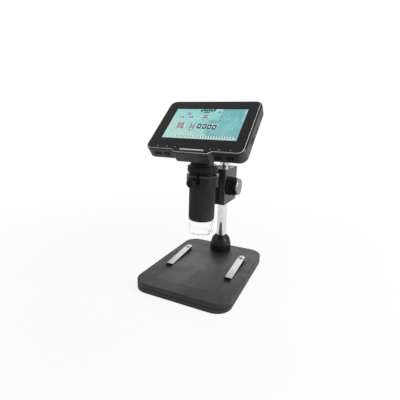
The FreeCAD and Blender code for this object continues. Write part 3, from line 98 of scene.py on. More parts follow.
def choose(piece, test, kind="faces"):
    """Selects the faces, edges or verts of the piece in edit mode for which the test is true."""
    mesh = bmesh.from_edit_mesh(piece.data)
    for face in mesh.faces:
        face.select_set(False)
    for part in getattr(mesh, kind):
        if test(part):
            part.select_set(True)
    mesh.select_flush_mode()
    bmesh.update_edit_mesh(piece.data)


def middle_of(face):
    return face.calc_center_median()


def turn(steps, sides=96, bore=0):
    """A closed turned body along Z from steps of (radius, height) in millimetres, with a bore."""
    deselect()
    (low_radius, low), (radius, high) = steps[:2]
    bpy.ops.mesh.primitive_cone_add(vertices=sides, radius1=low_radius * MM, radius2=radius * MM,
                                    depth=(high - low) * MM, location=(0, 0, (low + high) / 2 * MM))
    bpy.ops.object.transform_apply(location=True, rotation=True, scale=True)
    piece = bpy.context.object
    edit(piece)
    choose(piece, lambda face: face.normal.z > 0.9)
    for next_radius, height in steps[2:]:
        step_to(radius, next_radius, height - high)
        radius, high = next_radius, height
    if bore:
        step_to(radius, bore, 0)
        end_height = middle_of(chosen_faces(piece)[0]).z
        choose(piece, lambda face: face.normal.z < -0.9 and abs(middle_of(face).z - low * MM) < CLOSE)
        step_to(low_radius, bore, 0)
        choose(piece, lambda face: len(face.verts) == sides and (
            abs(middle_of(face).z - low * MM) < CLOSE or abs(middle_of(face).z - end_height) < CLOSE))
        bpy.ops.mesh.bridge_edge_loops()
    bpy.ops.object.mode_set(mode="OBJECT")
    return piece


def chosen_faces(piece):
    return [face for face in bmesh.from_edit_mesh(piece.data).faces if face.select]


def step_to(radius, next_radius, rise):
    """Extrudes the chosen ring face by a rise and brings it to its next radius."""
    bpy.ops.mesh.extrude_region_move(TRANSFORM_OT_translate={"value": (0, 0, rise * MM)})
    factor = next_radius / radius
    bpy.ops.transform.resize(value=(factor, factor, 1), center_override=(0, 0, 0))


def flute(piece, count, factor, low, high):
    """Presses count valleys into the rings of points between two heights."""
    edit(piece, "VERT")

    def in_valley(vertex):
        step = math.atan2(vertex.co.y, vertex.co.x) / (2 * math.pi) * count
        return low * MM < vertex.co.z < high * MM and VALLEY[0] < step % 1 < VALLEY[1]
    choose(piece, in_valley, "verts")
    bpy.ops.transform.resize(value=(factor, factor, 1), center_override=(0, 0, 0))
    bpy.ops.object.mode_set(mode="OBJECT")
    return piece


def block(x, y, z):
    """A box from low and high values along each axis, in millimetres."""
    deselect()
    place = [(low + high) / 2 * MM for low, high in (x, y, z)]
    bpy.ops.mesh.primitive_cube_add(size=1, location=place)
    piece = bpy.context.object
    piece.scale = [(high - low) * MM for low, high in (x, y, z)]
    bpy.ops.object.transform_apply(location=True, rotation=True, scale=True)
    return piece


def soften(piece, width, segments=2, angle=30):
    """Bevels the edges that are sharper than an angle."""
    deselect()
    bpy.context.view_layer.objects.active = piece
    piece.select_set(True)
    bevel = piece.modifiers.new("Bevel", "BEVEL")
    bevel.width = width * MM
    bevel.segments = segments
    bevel.limit_method = "ANGLE"
    bevel.angle_limit = math.radians(angle)
    bpy.ops.object.modifier_apply(modifier=bevel.name)
    return piece


def smooth(piece, angle=35):
    deselect()
    piece.select_set(True)
    bpy.context.view_layer.objects.active = piece
    bpy.ops.object.shade_smooth_by_angle(angle=math.radians(angle))
    return piece


def join(pieces):
    deselect()
    for piece in pieces:
        piece.select_set(True)
    bpy.context.view_layer.objects.active = pieces[0]
    bpy.ops.object.join()
    return bpy.context.object


def copy(piece, move):
    """A copy with its own mesh, moved by a matrix."""
    twin = piece.copy()
    twin.data = piece.data.copy()
    bpy.context.scene.collection.objects.link(twin)
    twin.data.transform(move)
    return twin


def settle(piece, name, body, finish, place=Matrix()):
    """Puts a finished piece where it belongs, names it, gives it its finish and lets it ride."""
    deselect()
    piece.data.transform(place)
    piece.name = name
    piece.data.name = name
    if finish:
        piece.data.materials.clear()
        piece.data.materials.append(finish)
    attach(piece, body)
    return piece


def shift(x=0, y=0, z=0):
    return Matrix.Translation(Vector((x, y, z)) * MM)


def dress(finish, *names):
    """Gives parts of the frame a finish."""
    for name in names:
        mesh = NODES[name].data
        mesh.materials.clear()
        mesh.materials.append(finish)


# Effects that several finishes share


def group(name, inputs, outputs):
    """An empty node group. Inputs are (name, kind, default), and outputs are (name, kind)."""
    tree = bpy.data.node_groups.new(name, "ShaderNodeTree")
    for title, kind, default in inputs:
        socket = tree.interface.new_socket(title, in_out="INPUT", socket_type="NodeSocket" + kind)
        if default is not None:
            socket.default_value = default
    for title, kind in outputs:
        tree.interface.new_socket(title, in_out="OUTPUT", socket_type="NodeSocket" + kind)
    return tree, tree.nodes.new("NodeGroupInput"), tree.nodes.new("NodeGroupOutput")


def wire(tree, source, target):
    tree.links.new(source, target)


def add(tree, kind, **values):
    """A node whose settings and unlinked inputs are given by name."""
    node = tree.nodes.new("ShaderNode" + kind)
    for key, value in values.items():
        if hasattr(node, key):
            setattr(node, key, value)
        else:
            node.inputs[key.replace("_", " ")].default_value = value
    return node


def sum_of(tree, kind, first, second):
    """One step of arithmetic on sockets or plain numbers."""
    node = tree.nodes.new("ShaderNodeMath")
    node.operation = kind
    for index, value in enumerate((first, second)):
        if isinstance(value, (int, float)):
            node.inputs[index].default_value = value
        elif value is not None:
            tree.links.new(value, node.inputs[index])
    return node.outputs[0]


def blend(tree, factor, first, second):
    """Mixes two colours. Each may be a socket or a plain colour."""
    node = tree.nodes.new("ShaderNodeMix")
    node.data_type = "RGBA"
    for socket, value in ((node.inputs[0], factor), (node.inputs[6], first), (node.inputs[7], second)):
        if isinstance(value, bpy.types.NodeSocket):
            tree.links.new(value, socket)
        elif isinstance(value, (int, float)):
            socket.default_value = value
        else:
            socket.default_value = (*value, 1)
    return node.outputs[2]


def scaled(tree, vector, factor):
    """A position multiplied by one factor or by three."""
    node = tree.nodes.new("ShaderNodeVectorMath")
    node.operation = "MULTIPLY"
    tree.links.new(vector, node.inputs[0])
    node.inputs[1].default_value = factor if isinstance(factor, tuple) else (factor,) * 3
    return node.outputs[0]


def ramp(tree, value, low, high):
    """Zero below low, one above high."""
    node = tree.nodes.new("ShaderNodeMapRange")
    tree.links.new(value, node.inputs["Value"])
    node.inputs["From Min"].default_value = low
    node.inputs["From Max"].default_value = high
    return node.outputs["Result"]


def inside(tree, value, low, high):
    """One where a value lies between two limits, and zero elsewhere."""
    return sum_of(tree, "MULTIPLY", sum_of(tree, "GREATER_THAN", value, low),
                  sum_of(tree, "LESS_THAN", value, high))


def parts_of(tree, vector):
    split = tree.nodes.new("ShaderNodeSeparateXYZ")
    wire(tree, vector, split.inputs[0])
    return split.outputs


def moulded_grain():
    """The fine pebbled skin of moulded or sprayed surfaces, with slow changes of tone."""
    tree, source, target = group("Moulded Grain", [
        ("Position", "Vector", None), ("Grain Size", "Float", 0.5), ("Cloud Size", "Float", 12.0)],
        [("Height", "Float"), ("Tone", "Float"), ("Wear", "Float")])
    place = scaled(tree, source.outputs["Position"], 1000.0)
    fine = add(tree, "TexVoronoi")
    wire(tree, place, fine.inputs["Vector"])
    wire(tree, sum_of(tree, "DIVIDE", 1.0, source.outputs["Grain Size"]), fine.inputs["Scale"])
    cloud = add(tree, "TexNoise", Detail=4.0)
    wire(tree, place, cloud.inputs["Vector"])
    wire(tree, sum_of(tree, "DIVIDE", 1.0, source.outputs["Cloud Size"]), cloud.inputs["Scale"])
    speck = add(tree, "TexNoise", Detail=2.0)
    wire(tree, place, speck.inputs["Vector"])
    speck.inputs["Scale"].default_value = 1.7
    wire(tree, fine.outputs["Distance"], target.inputs["Height"])
    wire(tree, ramp(tree, cloud.outputs[0], 0.3, 0.7), target.inputs["Tone"])
    wire(tree, ramp(tree, speck.outputs[0], 0.64, 0.8), target.inputs["Wear"])
    return tree


def brushed_lines():
    """Fine parallel scratches along one axis of a stretched position."""
    tree, source, target = group("Brushed Lines", [
        ("Position", "Vector", None), ("Stretch", "Vector", (1.0, 20.0, 20.0))],
        [("Height", "Float"), ("Tone", "Float")])
    node = tree.nodes.new("ShaderNodeVectorMath")
    node.operation = "MULTIPLY"
    wire(tree, source.outputs["Position"], node.inputs[0])
    wire(tree, source.outputs["Stretch"], node.inputs[1])
    lines = add(tree, "TexNoise", Detail=3.0, Scale=1000.0)
    wire(tree, node.outputs[0], lines.inputs["Vector"])
    slow = add(tree, "TexNoise", Detail=2.0, Scale=120.0)
    wire(tree, source.outputs["Position"], slow.inputs["Vector"])
    wire(tree, lines.outputs[0], target.inputs["Height"])
    both = sum_of(tree, "MULTIPLY", ramp(tree, lines.outputs[0], 0.3, 0.7), 0.6)
    drift = sum_of(tree, "MULTIPLY", ramp(tree, slow.outputs[0], 0.3, 0.7), 0.4)
    wire(tree, sum_of(tree, "ADD", both, drift), target.inputs["Tone"])
    return tree


def turned_rings():
    """Fine rings about an axis through zero along Z, as a lathe leaves them."""
    tree, source, target = group("Turned Rings", [
        ("Position", "Vector", None), ("Pitch", "Float", 0.25)], [("Height", "Float"), ("Tone", "Float")])
    flat = scaled(tree, source.outputs["Position"], (1000.0, 1000.0, 0.0))
    length = tree.nodes.new("ShaderNodeVectorMath")
    length.operation = "LENGTH"
    wire(tree, flat, length.inputs[0])
    reach = sum_of(tree, "DIVIDE", length.outputs["Value"], source.outputs["Pitch"])
    wave = sum_of(tree, "SINE", sum_of(tree, "MULTIPLY", reach, 2 * math.pi), None)
    radial = tree.nodes.new("ShaderNodeCombineXYZ")
    wire(tree, length.outputs["Value"], radial.inputs[0])
    uneven = add(tree, "TexNoise", Detail=3.0, Scale=2.2)
    wire(tree, radial.outputs[0], uneven.inputs["Vector"])
    wire(tree, sum_of(tree, "ADD", sum_of(tree, "MULTIPLY", wave, 0.3), uneven.outputs[0]),
         target.inputs["Height"])
    wire(tree, ramp(tree, uneven.outputs[0], 0.35, 0.65), target.inputs["Tone"])
    return tree


def handling_marks():
    """Smudges and faint dust, stronger where the surface faces up."""
    tree, source, target = group("Handling Marks", [
        ("Position", "Vector", None), ("Size", "Float", 25.0)], [("Smudge", "Float"), ("Dust", "Float")])
    place = scaled(tree, source.outputs["Position"], 1000.0)
    smear = add(tree, "TexNoise", Detail=5.0, Distortion=0.6)
    wire(tree, place, smear.inputs["Vector"])
    wire(tree, sum_of(tree, "DIVIDE", 1.0, source.outputs["Size"]), smear.inputs["Scale"])
    motes = add(tree, "TexNoise", Detail=6.0, Scale=1.1)
    wire(tree, place, motes.inputs["Vector"])
    lie = add(tree, "NewGeometry")
    split = tree.nodes.new("ShaderNodeSeparateXYZ")
    wire(tree, lie.outputs["Normal"], split.inputs[0])
    facing = ramp(tree, split.outputs[2], 0.3, 1.0)
    wire(tree, ramp(tree, smear.outputs[0], 0.4, 0.7), target.inputs["Smudge"])
    settled = sum_of(tree, "MULTIPLY", facing, ramp(tree, motes.outputs[0], 0.5, 0.75))
    wire(tree, settled, target.inputs["Dust"])
    return tree


EFFECTS = {}


def effect(tree, name, position, **values):
    """Places a shared effect in a finish with its own values."""
    if name not in EFFECTS:
        EFFECTS[name] = {"Moulded Grain": moulded_grain, "Brushed Lines": brushed_lines,
                         "Turned Rings": turned_rings, "Handling Marks": handling_marks}[name]()
    node = tree.nodes.new("ShaderNodeGroup")
    node.node_tree = EFFECTS[name]
    wire(tree, position, node.inputs["Position"])
    for key, value in values.items():
        node.inputs[key.replace("_", " ")].default_value = value
    return node


# Finishes


class Finish:
    """A material under way: its tree, its shader and the position that its patterns read."""

    def __init__(self, name, roughness, metallic=0.0, **sockets):
        self.material = bpy.data.materials.new(name)
        self.material.use_nodes = True
        self.tree = self.material.node_tree
        self.tree.nodes.clear()
        self.shader = self.tree.nodes.new("ShaderNodeBsdfPrincipled")
        self.output = self.tree.nodes.new("ShaderNodeOutputMaterial")
        wire(self.tree, self.shader.outputs[0], self.output.inputs[0])
        self.shader.inputs["Roughness"].default_value = roughness
        self.shader.inputs["Metallic"].default_value = metallic
        for key, value in sockets.items():
            self.shader.inputs[key.replace("_", " ")].default_value = value
        self.position = self.tree.nodes.new("ShaderNodeTexCoord").outputs["Object"]

    def colour(self, value):
        self.plug(value, "Base Color")

    def plug(self, value, name):
        if isinstance(value, bpy.types.NodeSocket):
            wire(self.tree, value, self.shader.inputs[name])
        elif isinstance(value, (int, float)):
            self.shader.inputs[name].default_value = value
        else:
            self.shader.inputs[name].default_value = (*value, 1)

    def bump(self, height, depth, strength=1.0):
        """Depth is in millimetres."""
        node = add(self.tree, "Bump", Strength=strength, Distance=depth * MM)
        wire(self.tree, height, node.inputs["Height"])
        wire(self.tree, node.outputs[0], self.shader.inputs["Normal"])

    def between(self, mask, low, high):
        """A number from low to high as the mask goes from zero to one."""
        return sum_of(self.tree, "ADD", sum_of(self.tree, "MULTIPLY", mask, high - low), low)

    def centred(self, location, rotation=(0, 0, 0)):
        """The position counted from a point, and turned."""
        node = self.tree.nodes.new("ShaderNodeMapping")
        node.vector_type = "TEXTURE"
        node.inputs["Location"].default_value = location
        node.inputs["Rotation"].default_value = rotation
        wire(self.tree, self.position, node.inputs["Vector"])
        return node.outputs[0]


def lighter(colour, factor):
    return tuple(min(1.0, part * factor) for part in colour)


def moulded(name, colour, roughness, grain=0.5, depth=0.03, dust=0.12, **sockets):
    """Moulded plastic or sprayed paint: pebbled, slightly uneven in tone, with smudges and dust."""
    finish = Finish(name, roughness, **sockets)
    skin = effect(finish.tree, "Moulded Grain", finish.position, Grain_Size=grain)
    marks = effect(finish.tree, "Handling Marks", finish.position)
    tone = blend(finish.tree, skin.outputs["Tone"], lighter(colour, 0.86), lighter(colour, 1.14))
    dusty = sum_of(finish.tree, "MULTIPLY", marks.outputs["Dust"], dust)
    finish.colour(blend(finish.tree, dusty, tone, (0.45, 0.44, 0.42)))
    finish.plug(finish.between(marks.outputs["Smudge"], roughness - 0.05, roughness + 0.07), "Roughness")
    finish.bump(skin.outputs["Height"], depth)
    return finish.material


def brushed(name, colour, roughness, stretch, depth=0.02, **sockets):
    """Metal brushed along one axis."""
    finish = Finish(name, roughness, metallic=1.0, **sockets)
    lines = effect(finish.tree, "Brushed Lines", finish.position, Stretch=stretch)
    finish.colour(blend(finish.tree, lines.outputs["Tone"], lighter(colour, 0.82), colour))
    finish.plug(finish.between(lines.outputs["Tone"], roughness + 0.08, roughness - 0.05), "Roughness")
    finish.bump(lines.outputs["Height"], depth)
    return finish.material


def turned(name, colour, roughness, centre, rotation=(0, 0, 0), pitch=0.25, depth=0.02, **sockets):
    """Metal turned about an axis."""
    finish = Finish(name, roughness, metallic=1.0, **sockets)
    rings = effect(finish.tree, "Turned Rings", finish.centred(centre, rotation), Pitch=pitch)
    finish.colour(blend(finish.tree, rings.outputs["Tone"], lighter(colour, 0.85), colour))
    finish.plug(finish.between(rings.outputs["Tone"], roughness + 0.08, roughness - 0.04), "Roughness")
    finish.bump(rings.outputs["Height"], depth)
    return finish.material


def chromed(name, colour, roughness):
    """Bright plating with the faintest waviness and a few fingerprints."""
    finish = Finish(name, roughness, metallic=1.0)
    marks = effect(finish.tree, "Handling Marks", finish.position, Size=9.0)
    skin = effect(finish.tree, "Moulded Grain", finish.position, Grain_Size=6.0)
    finish.colour(blend(finish.tree, marks.outputs["Smudge"], colour, lighter(colour, 0.93)))
    finish.plug(finish.between(marks.outputs["Smudge"], roughness, roughness + 0.05), "Roughness")
    finish.bump(skin.outputs["Tone"], 0.01)
    return finish.material


FINISHES = {}


def finish(name):
    """A finish by name, made when it is first asked for."""
    if name not in FINISHES:
        FINISHES[name] = RECIPES[name]()
    return FINISHES[name]


def tint(name):
    return tuple(getattr(settings(), name))


def clear_plastic():
    clear = Finish("Clear Plastic", 0.06, IOR=1.12, Transmission_Weight=1.0, Alpha=0.35)
    marks = effect(clear.tree, "Handling Marks", clear.position, Size=14.0)
    clear.colour(blend(clear.tree, marks.outputs["Smudge"], (1.0, 1.0, 1.0), (0.98, 0.985, 0.99)))
    clear.plug(clear.between(marks.outputs["Smudge"], 0.03, 0.09), "Roughness")
    return clear.material


def lens_glass():
    glass = Finish("Coated Lens", 0.02, IOR=1.6, Transmission_Weight=1.0, Coat_Weight=0.5)
    marks = effect(glass.tree, "Handling Marks", glass.position, Size=4.0)
    glass.colour(blend(glass.tree, marks.outputs["Smudge"], (0.86, 0.92, 1.0), (0.9, 0.86, 1.0)))
    return glass.material


def circuit_board():
    """Green lacquer over faint copper runs."""
    board = Finish("Circuit Board", 0.35, Coat_Weight=0.4)
    lines = effect(board.tree, "Brushed Lines", board.position, Stretch=(3.0, 0.4, 3.0))
    skin = effect(board.tree, "Moulded Grain", board.position, Grain_Size=2.4)
    runs = ramp(board.tree, lines.outputs["Height"], 0.5, 0.53)
    base = blend(board.tree, skin.outputs["Tone"], (0.01, 0.1, 0.045), (0.015, 0.14, 0.06))
    board.colour(blend(board.tree, runs, base, (0.03, 0.22, 0.1)))
    board.bump(runs, 0.03)
    return board.material


def lamp_lens():
    lamp = Finish("Lamp Lens", 0.1, Coat_Weight=1.0)
    skin = effect(lamp.tree, "Moulded Grain", lamp.position, Grain_Size=0.8)
    lamp.colour(blend(lamp.tree, skin.outputs["Tone"], (0.92, 0.9, 0.72), (0.97, 0.96, 0.88)))
    return lamp.material


def rubber():
    sole = Finish("Foot Rubber", 0.85)
    skin = effect(sole.tree, "Moulded Grain", sole.position, Grain_Size=0.3)
    marks = effect(sole.tree, "Handling Marks", sole.position)
    sole.colour(blend(sole.tree, marks.outputs["Smudge"], (0.018, 0.018, 0.018), (0.035, 0.034, 0.032)))
    sole.bump(skin.outputs["Height"], 0.08)
    return sole.material


def on_screen(finish):
    """The place across and up the glass in millimetres."""
    spot = finish.centred(SCREEN.to_translation(), SCREEN.to_euler())
    return parts_of(finish.tree, scaled(finish.tree, spot, 1000.0))


def window_glass():
    """Glass printed black round the picture, clear over it, with a painted highlight: its bevel faces are
    coloured pale grey.
    """
    glass = Finish("Screen Glass", 0.07, IOR=1.45, Specular_IOR_Level=0.34)
    tree = glass.tree
    across, up = on_screen(glass)[:2]
    clear = sum_of(tree, "MULTIPLY", inside(tree, across, -47.8, 47.8), inside(tree, up, -28.0, 26.4))
    normal = tree.nodes.new("ShaderNodeTexCoord").outputs["Normal"]
    facing = tree.nodes.new("ShaderNodeVectorMath")
    facing.operation = "DOT_PRODUCT"
    wire(tree, normal, facing.inputs[0])
    facing.inputs[1].default_value = SCREEN.to_3x3().col[2]
    # The bevel faces, picked by their normal, get a painted highlight, a pale grey line round the glass
    # edge.
    bevel = inside(tree, facing.outputs["Value"], 0.3, 0.95)
    marks = effect(tree, "Handling Marks", glass.position, Size=30.0)
    printed = blend(tree, marks.outputs["Smudge"], tint("gloss_colour"), lighter(tint("gloss_colour"), 1.3))
    # The pale grey on the bevel is a painted highlight, not the glass's own colour.
    glass.colour(blend(tree, bevel, printed, (0.75, 0.76, 0.77)))
    glass.plug(sum_of(tree, "SUBTRACT", 1.0, sum_of(tree, "MULTIPLY", clear, 0.94)), "Alpha")
    glass.plug(glass.between(marks.outputs["Smudge"], 0.05, 0.11), "Roughness")
    return glass.material


def lit_board():
    """The lit picture's ground: pale and deeper lacquer, fine tracks and small holes."""
    board = Finish("Picture Ground", 0.5, Emission_Strength=settings().picture_glow)
    tree = board.tree
    across, up = on_screen(board)[:2]
    spot = tree.nodes.new("ShaderNodeCombineXYZ")
    wire(tree, across, spot.inputs[0])
    wire(tree, up, spot.inputs[1])
    cloud = add(tree, "TexNoise", Scale=0.045, Detail=3.0)
    wire(tree, spot.outputs[0], cloud.inputs["Vector"])
    ground = blend(tree, ramp(tree, cloud.outputs[0], 0.35, 0.65), tint("picture_colour"),
                   tint("track_colour"))
    slant = sum_of(tree, "ADD", sum_of(tree, "MULTIPLY", across, 0.66), sum_of(tree, "MULTIPLY", up, 0.75))
    uneven = sum_of(tree, "ADD", slant, sum_of(tree, "MULTIPLY", cloud.outputs[0], 18.0))
    mint = ramp(tree, uneven, 2.0, -22.0)
    ground = blend(tree, sum_of(tree, "MULTIPLY", mint, 0.8), ground, (0.58, 0.84, 0.75))
    stripes = sum_of(tree, "GREATER_THAN", sum_of(
        tree, "SINE", sum_of(tree, "MULTIPLY", slant, 2 * math.pi / 1.8), None), 0.25)
    field = sum_of(tree, "MULTIPLY", inside(tree, slant, -9.0, 34.0), inside(tree, across, 4.0, 48.0))
    field = sum_of(tree, "MULTIPLY", field, inside(tree, up, -23.0, 6.0))
    step = sum_of(tree, "FLOOR", sum_of(tree, "DIVIDE", across, 1.5), None)
    chance = tree.nodes.new("ShaderNodeTexWhiteNoise")
    chance.noise_dimensions = "1D"
    wire(tree, step, chance.inputs["W"])
    foot = sum_of(tree, "ADD", sum_of(tree, "MULTIPLY", chance.outputs["Value"], 9.0), 3.0)
    upright = sum_of(tree, "GREATER_THAN", sum_of(
        tree, "SINE", sum_of(tree, "MULTIPLY", across, 2 * math.pi / 1.5), None), 0.1)
    above = sum_of(tree, "GREATER_THAN", up, foot)
    columns = sum_of(tree, "MULTIPLY", inside(tree, across, 16.5, 45.0), above)
    tracks = sum_of(tree, "MAXIMUM", sum_of(tree, "MULTIPLY", stripes, field),
                    sum_of(tree, "MULTIPLY", upright, columns))
    ground = blend(tree, sum_of(tree, "MULTIPLY", tracks, 0.9), ground, (0.04, 0.27, 0.3))
    holes = add(tree, "TexVoronoi", Scale=0.17)
    wire(tree, spot.outputs[0], holes.inputs["Vector"])
    drilled = sum_of(tree, "LESS_THAN", holes.outputs["Distance"], 0.085)
    ground = blend(tree, sum_of(tree, "MULTIPLY", drilled, 0.75), ground, (0.03, 0.12, 0.14))
    board.colour((0, 0, 0))
    board.plug(ground, "Emission Color")
    return board.material


def lit_part(name, colour, shade):
    """One lit colour of the picture, with soft changes of tone."""
    part = Finish(name, 0.5, Emission_Strength=settings().picture_glow)
    skin = effect(part.tree, "Moulded Grain", part.position, Grain_Size=1.2, Cloud_Size=3.0)
    part.colour((0, 0, 0))
    part.plug(blend(part.tree, skin.outputs["Tone"], colour, shade), "Emission Color")
    return part.material


RECIPES = {
    "base": lambda: moulded("Base Plastic", tint("base_colour"), 0.5, grain=0.45, depth=0.035,
                            dust=0.05),
    "stage": lambda: moulded("Stage Insert", tint("base_colour"), 0.46, grain=0.3, depth=0.02,
                             dust=0.05),
    "shell": lambda: moulded("Housing Plastic", tint("shell_colour"), 0.42, grain=0.55, depth=0.03,
                             dust=0.08),
    "gloss": lambda: moulded("Gloss Black", tint("gloss_colour"), 0.14, grain=5.0, depth=0.004, dust=0.04),
    "boot": lambda: moulded("Boot Satin", tint("gloss_colour"), 0.34, grain=0.8, depth=0.008, dust=0.02,
                            Specular_IOR_Level=0.3),
    "ring": lambda: moulded("Ring Plastic", lighter(tint("gloss_colour"), 1.2), 0.3, grain=0.6, depth=0.01,
                            dust=0.03, Specular_IOR_Level=0.22),
    "barrel": lambda: moulded("Barrel Satin", tint("barrel_colour"), 0.36, grain=0.35, depth=0.015,
                              dust=0.03, Specular_IOR_Level=0.26),
    "grip": lambda: moulded("Grip Plastic", tint("grip_colour"), 0.45, grain=0.3, depth=0.02, dust=0.03,
                            Specular_IOR_Level=0.2),
    "block": lambda: moulded("Block Paint", tint("block_colour"), 0.38, grain=0.6, depth=0.03, dust=0.08),
    "slide": lambda: brushed("Black Anodised", (0.03, 0.03, 0.033), 0.38, (20.0, 20.0, 1.0)),
    "spring_steel": lambda: brushed("Spring Steel", tint("steel_colour"), 0.24, (20.0, 1.0, 20.0)),
    "bare_steel": lambda: brushed("Bare Steel", (0.5, 0.5, 0.52), 0.35, (1.0, 20.0, 20.0)),
    "zinc": lambda: brushed("Zinc Plate", (0.52, 0.53, 0.56), 0.35, (6.0, 6.0, 1.0)),
    "screw": lambda: chromed("Screw Plating", lighter(tint("chrome_colour"), 0.72), 0.2),
    "chrome": lambda: chromed("Column Chrome", tint("chrome_colour"), 0.06),
    "brass": lambda: brushed("Rack Brass", (0.72, 0.5, 0.22), 0.3, (1.0, 20.0, 20.0)),
    "acetal": lambda: moulded("Acetal", (0.72, 0.71, 0.67), 0.4, grain=0.8, depth=0.01, dust=0.05),
    "lead": lambda: brushed("Flat Lead", (0.45, 0.45, 0.46), 0.5, (12.0, 1.0, 1.0)),
    "rubber": rubber,
    "clear": clear_plastic,
    "lens": lens_glass,
    "circuit": circuit_board,
    "lamp": lamp_lens,
    "window": window_glass,
    "lit_board": lit_board,
    "lit_white": lambda: lit_part("Picture White", (0.88, 0.93, 0.92), (0.7, 0.82, 0.8)),
    "lit_pale": lambda: lit_part("Picture Pale", (0.62, 0.84, 0.84), (0.45, 0.76, 0.76)),
    "lit_dark": lambda: lit_part("Picture Dark", (0.012, 0.05, 0.06), (0.03, 0.1, 0.11)),
    "lit_rose": lambda: lit_part("Picture Rose", (0.66, 0.46, 0.42), (0.5, 0.36, 0.34)),
    "print": lambda: moulded("Printed Marks", (0.86, 0.86, 0.86), 0.5, grain=0.2, depth=0.002, dust=0.0),
}


# Settings


class MicroscopeSettings(bpy.types.PropertyGroup):
    base_colour: FloatVectorProperty(
        name="Base", description="Colour of the base", subtype="COLOR", default=(0.011, 0.011, 0.0115),
        min=0, max=1)
    shell_colour: FloatVectorProperty(
        name="Shell", description="Colour of the screen's rear shell and neck", subtype="COLOR",
        default=(0.02, 0.02, 0.021), min=0, max=1)
    gloss_colour: FloatVectorProperty(
        name="Gloss", description="Colour of the bezel and boot", subtype="COLOR",
        default=(0.006, 0.006, 0.0065), min=0, max=1)
    barrel_colour: FloatVectorProperty(
        name="Barrel", description="Colour of the barrel", subtype="COLOR", default=(0.0095, 0.0105, 0.011),
        min=0, max=1)
    grip_colour: FloatVectorProperty(
        name="Grips", description="Colour of the knobs and the wheel", subtype="COLOR",
        default=(0.005, 0.005, 0.0055), min=0, max=1)
    block_colour: FloatVectorProperty(
        name="Block", description="Colour of the focusing block", subtype="COLOR",
        default=(0.028, 0.029, 0.03), min=0, max=1)
    chrome_colour: FloatVectorProperty(
        name="Chrome", description="Colour of the column", subtype="COLOR", default=(0.78, 0.78, 0.79),
        min=0, max=1)
    steel_colour: FloatVectorProperty(
        name="Clips", description="Colour of the clip strips", subtype="COLOR", default=(0.33, 0.33, 0.325),
        min=0, max=1)
    picture_colour: FloatVectorProperty(
        name="Picture", description="Main colour of the picture", subtype="COLOR",
        default=(0.24, 0.66, 0.66), min=0, max=1)
    track_colour: FloatVectorProperty(
        name="Tracks", description="Colour of the tracks in the picture", subtype="COLOR",
        default=(0.42, 0.82, 0.8), min=0, max=1)
    picture_glow: FloatProperty(
        name="Picture glow", description="How bright the lit picture is", default=0.92, min=0, max=5)
    barrel_ribs: IntProperty(
        name="Barrel ribs", description="Number of upright ribs round the barrel", default=72, min=24,
        max=120)
    knob_flutes: IntProperty(
        name="Knob flutes", description="Number of flutes round each focus knob", default=48, min=12,
        max=90)
    flute_depth: FloatProperty(
        name="Flute depth", description="Depth of the flutes in the focus knobs", default=0.0004,
        min=0.0001, max=0.001, unit="LENGTH")
    rib_depth: FloatProperty(
        name="Rib depth", description="Depth between the barrel's ribs", default=0.0004, min=0.0001,
        max=0.0005, unit="LENGTH")
    key_light: FloatProperty(
        name="Key light", description="Power of the large lamp on the right", default=5.5, min=0,
        unit="POWER")
    fill_light: FloatProperty(
        name="Fill light", description="Power of the lamp on the left", default=0.8, min=0, unit="POWER")


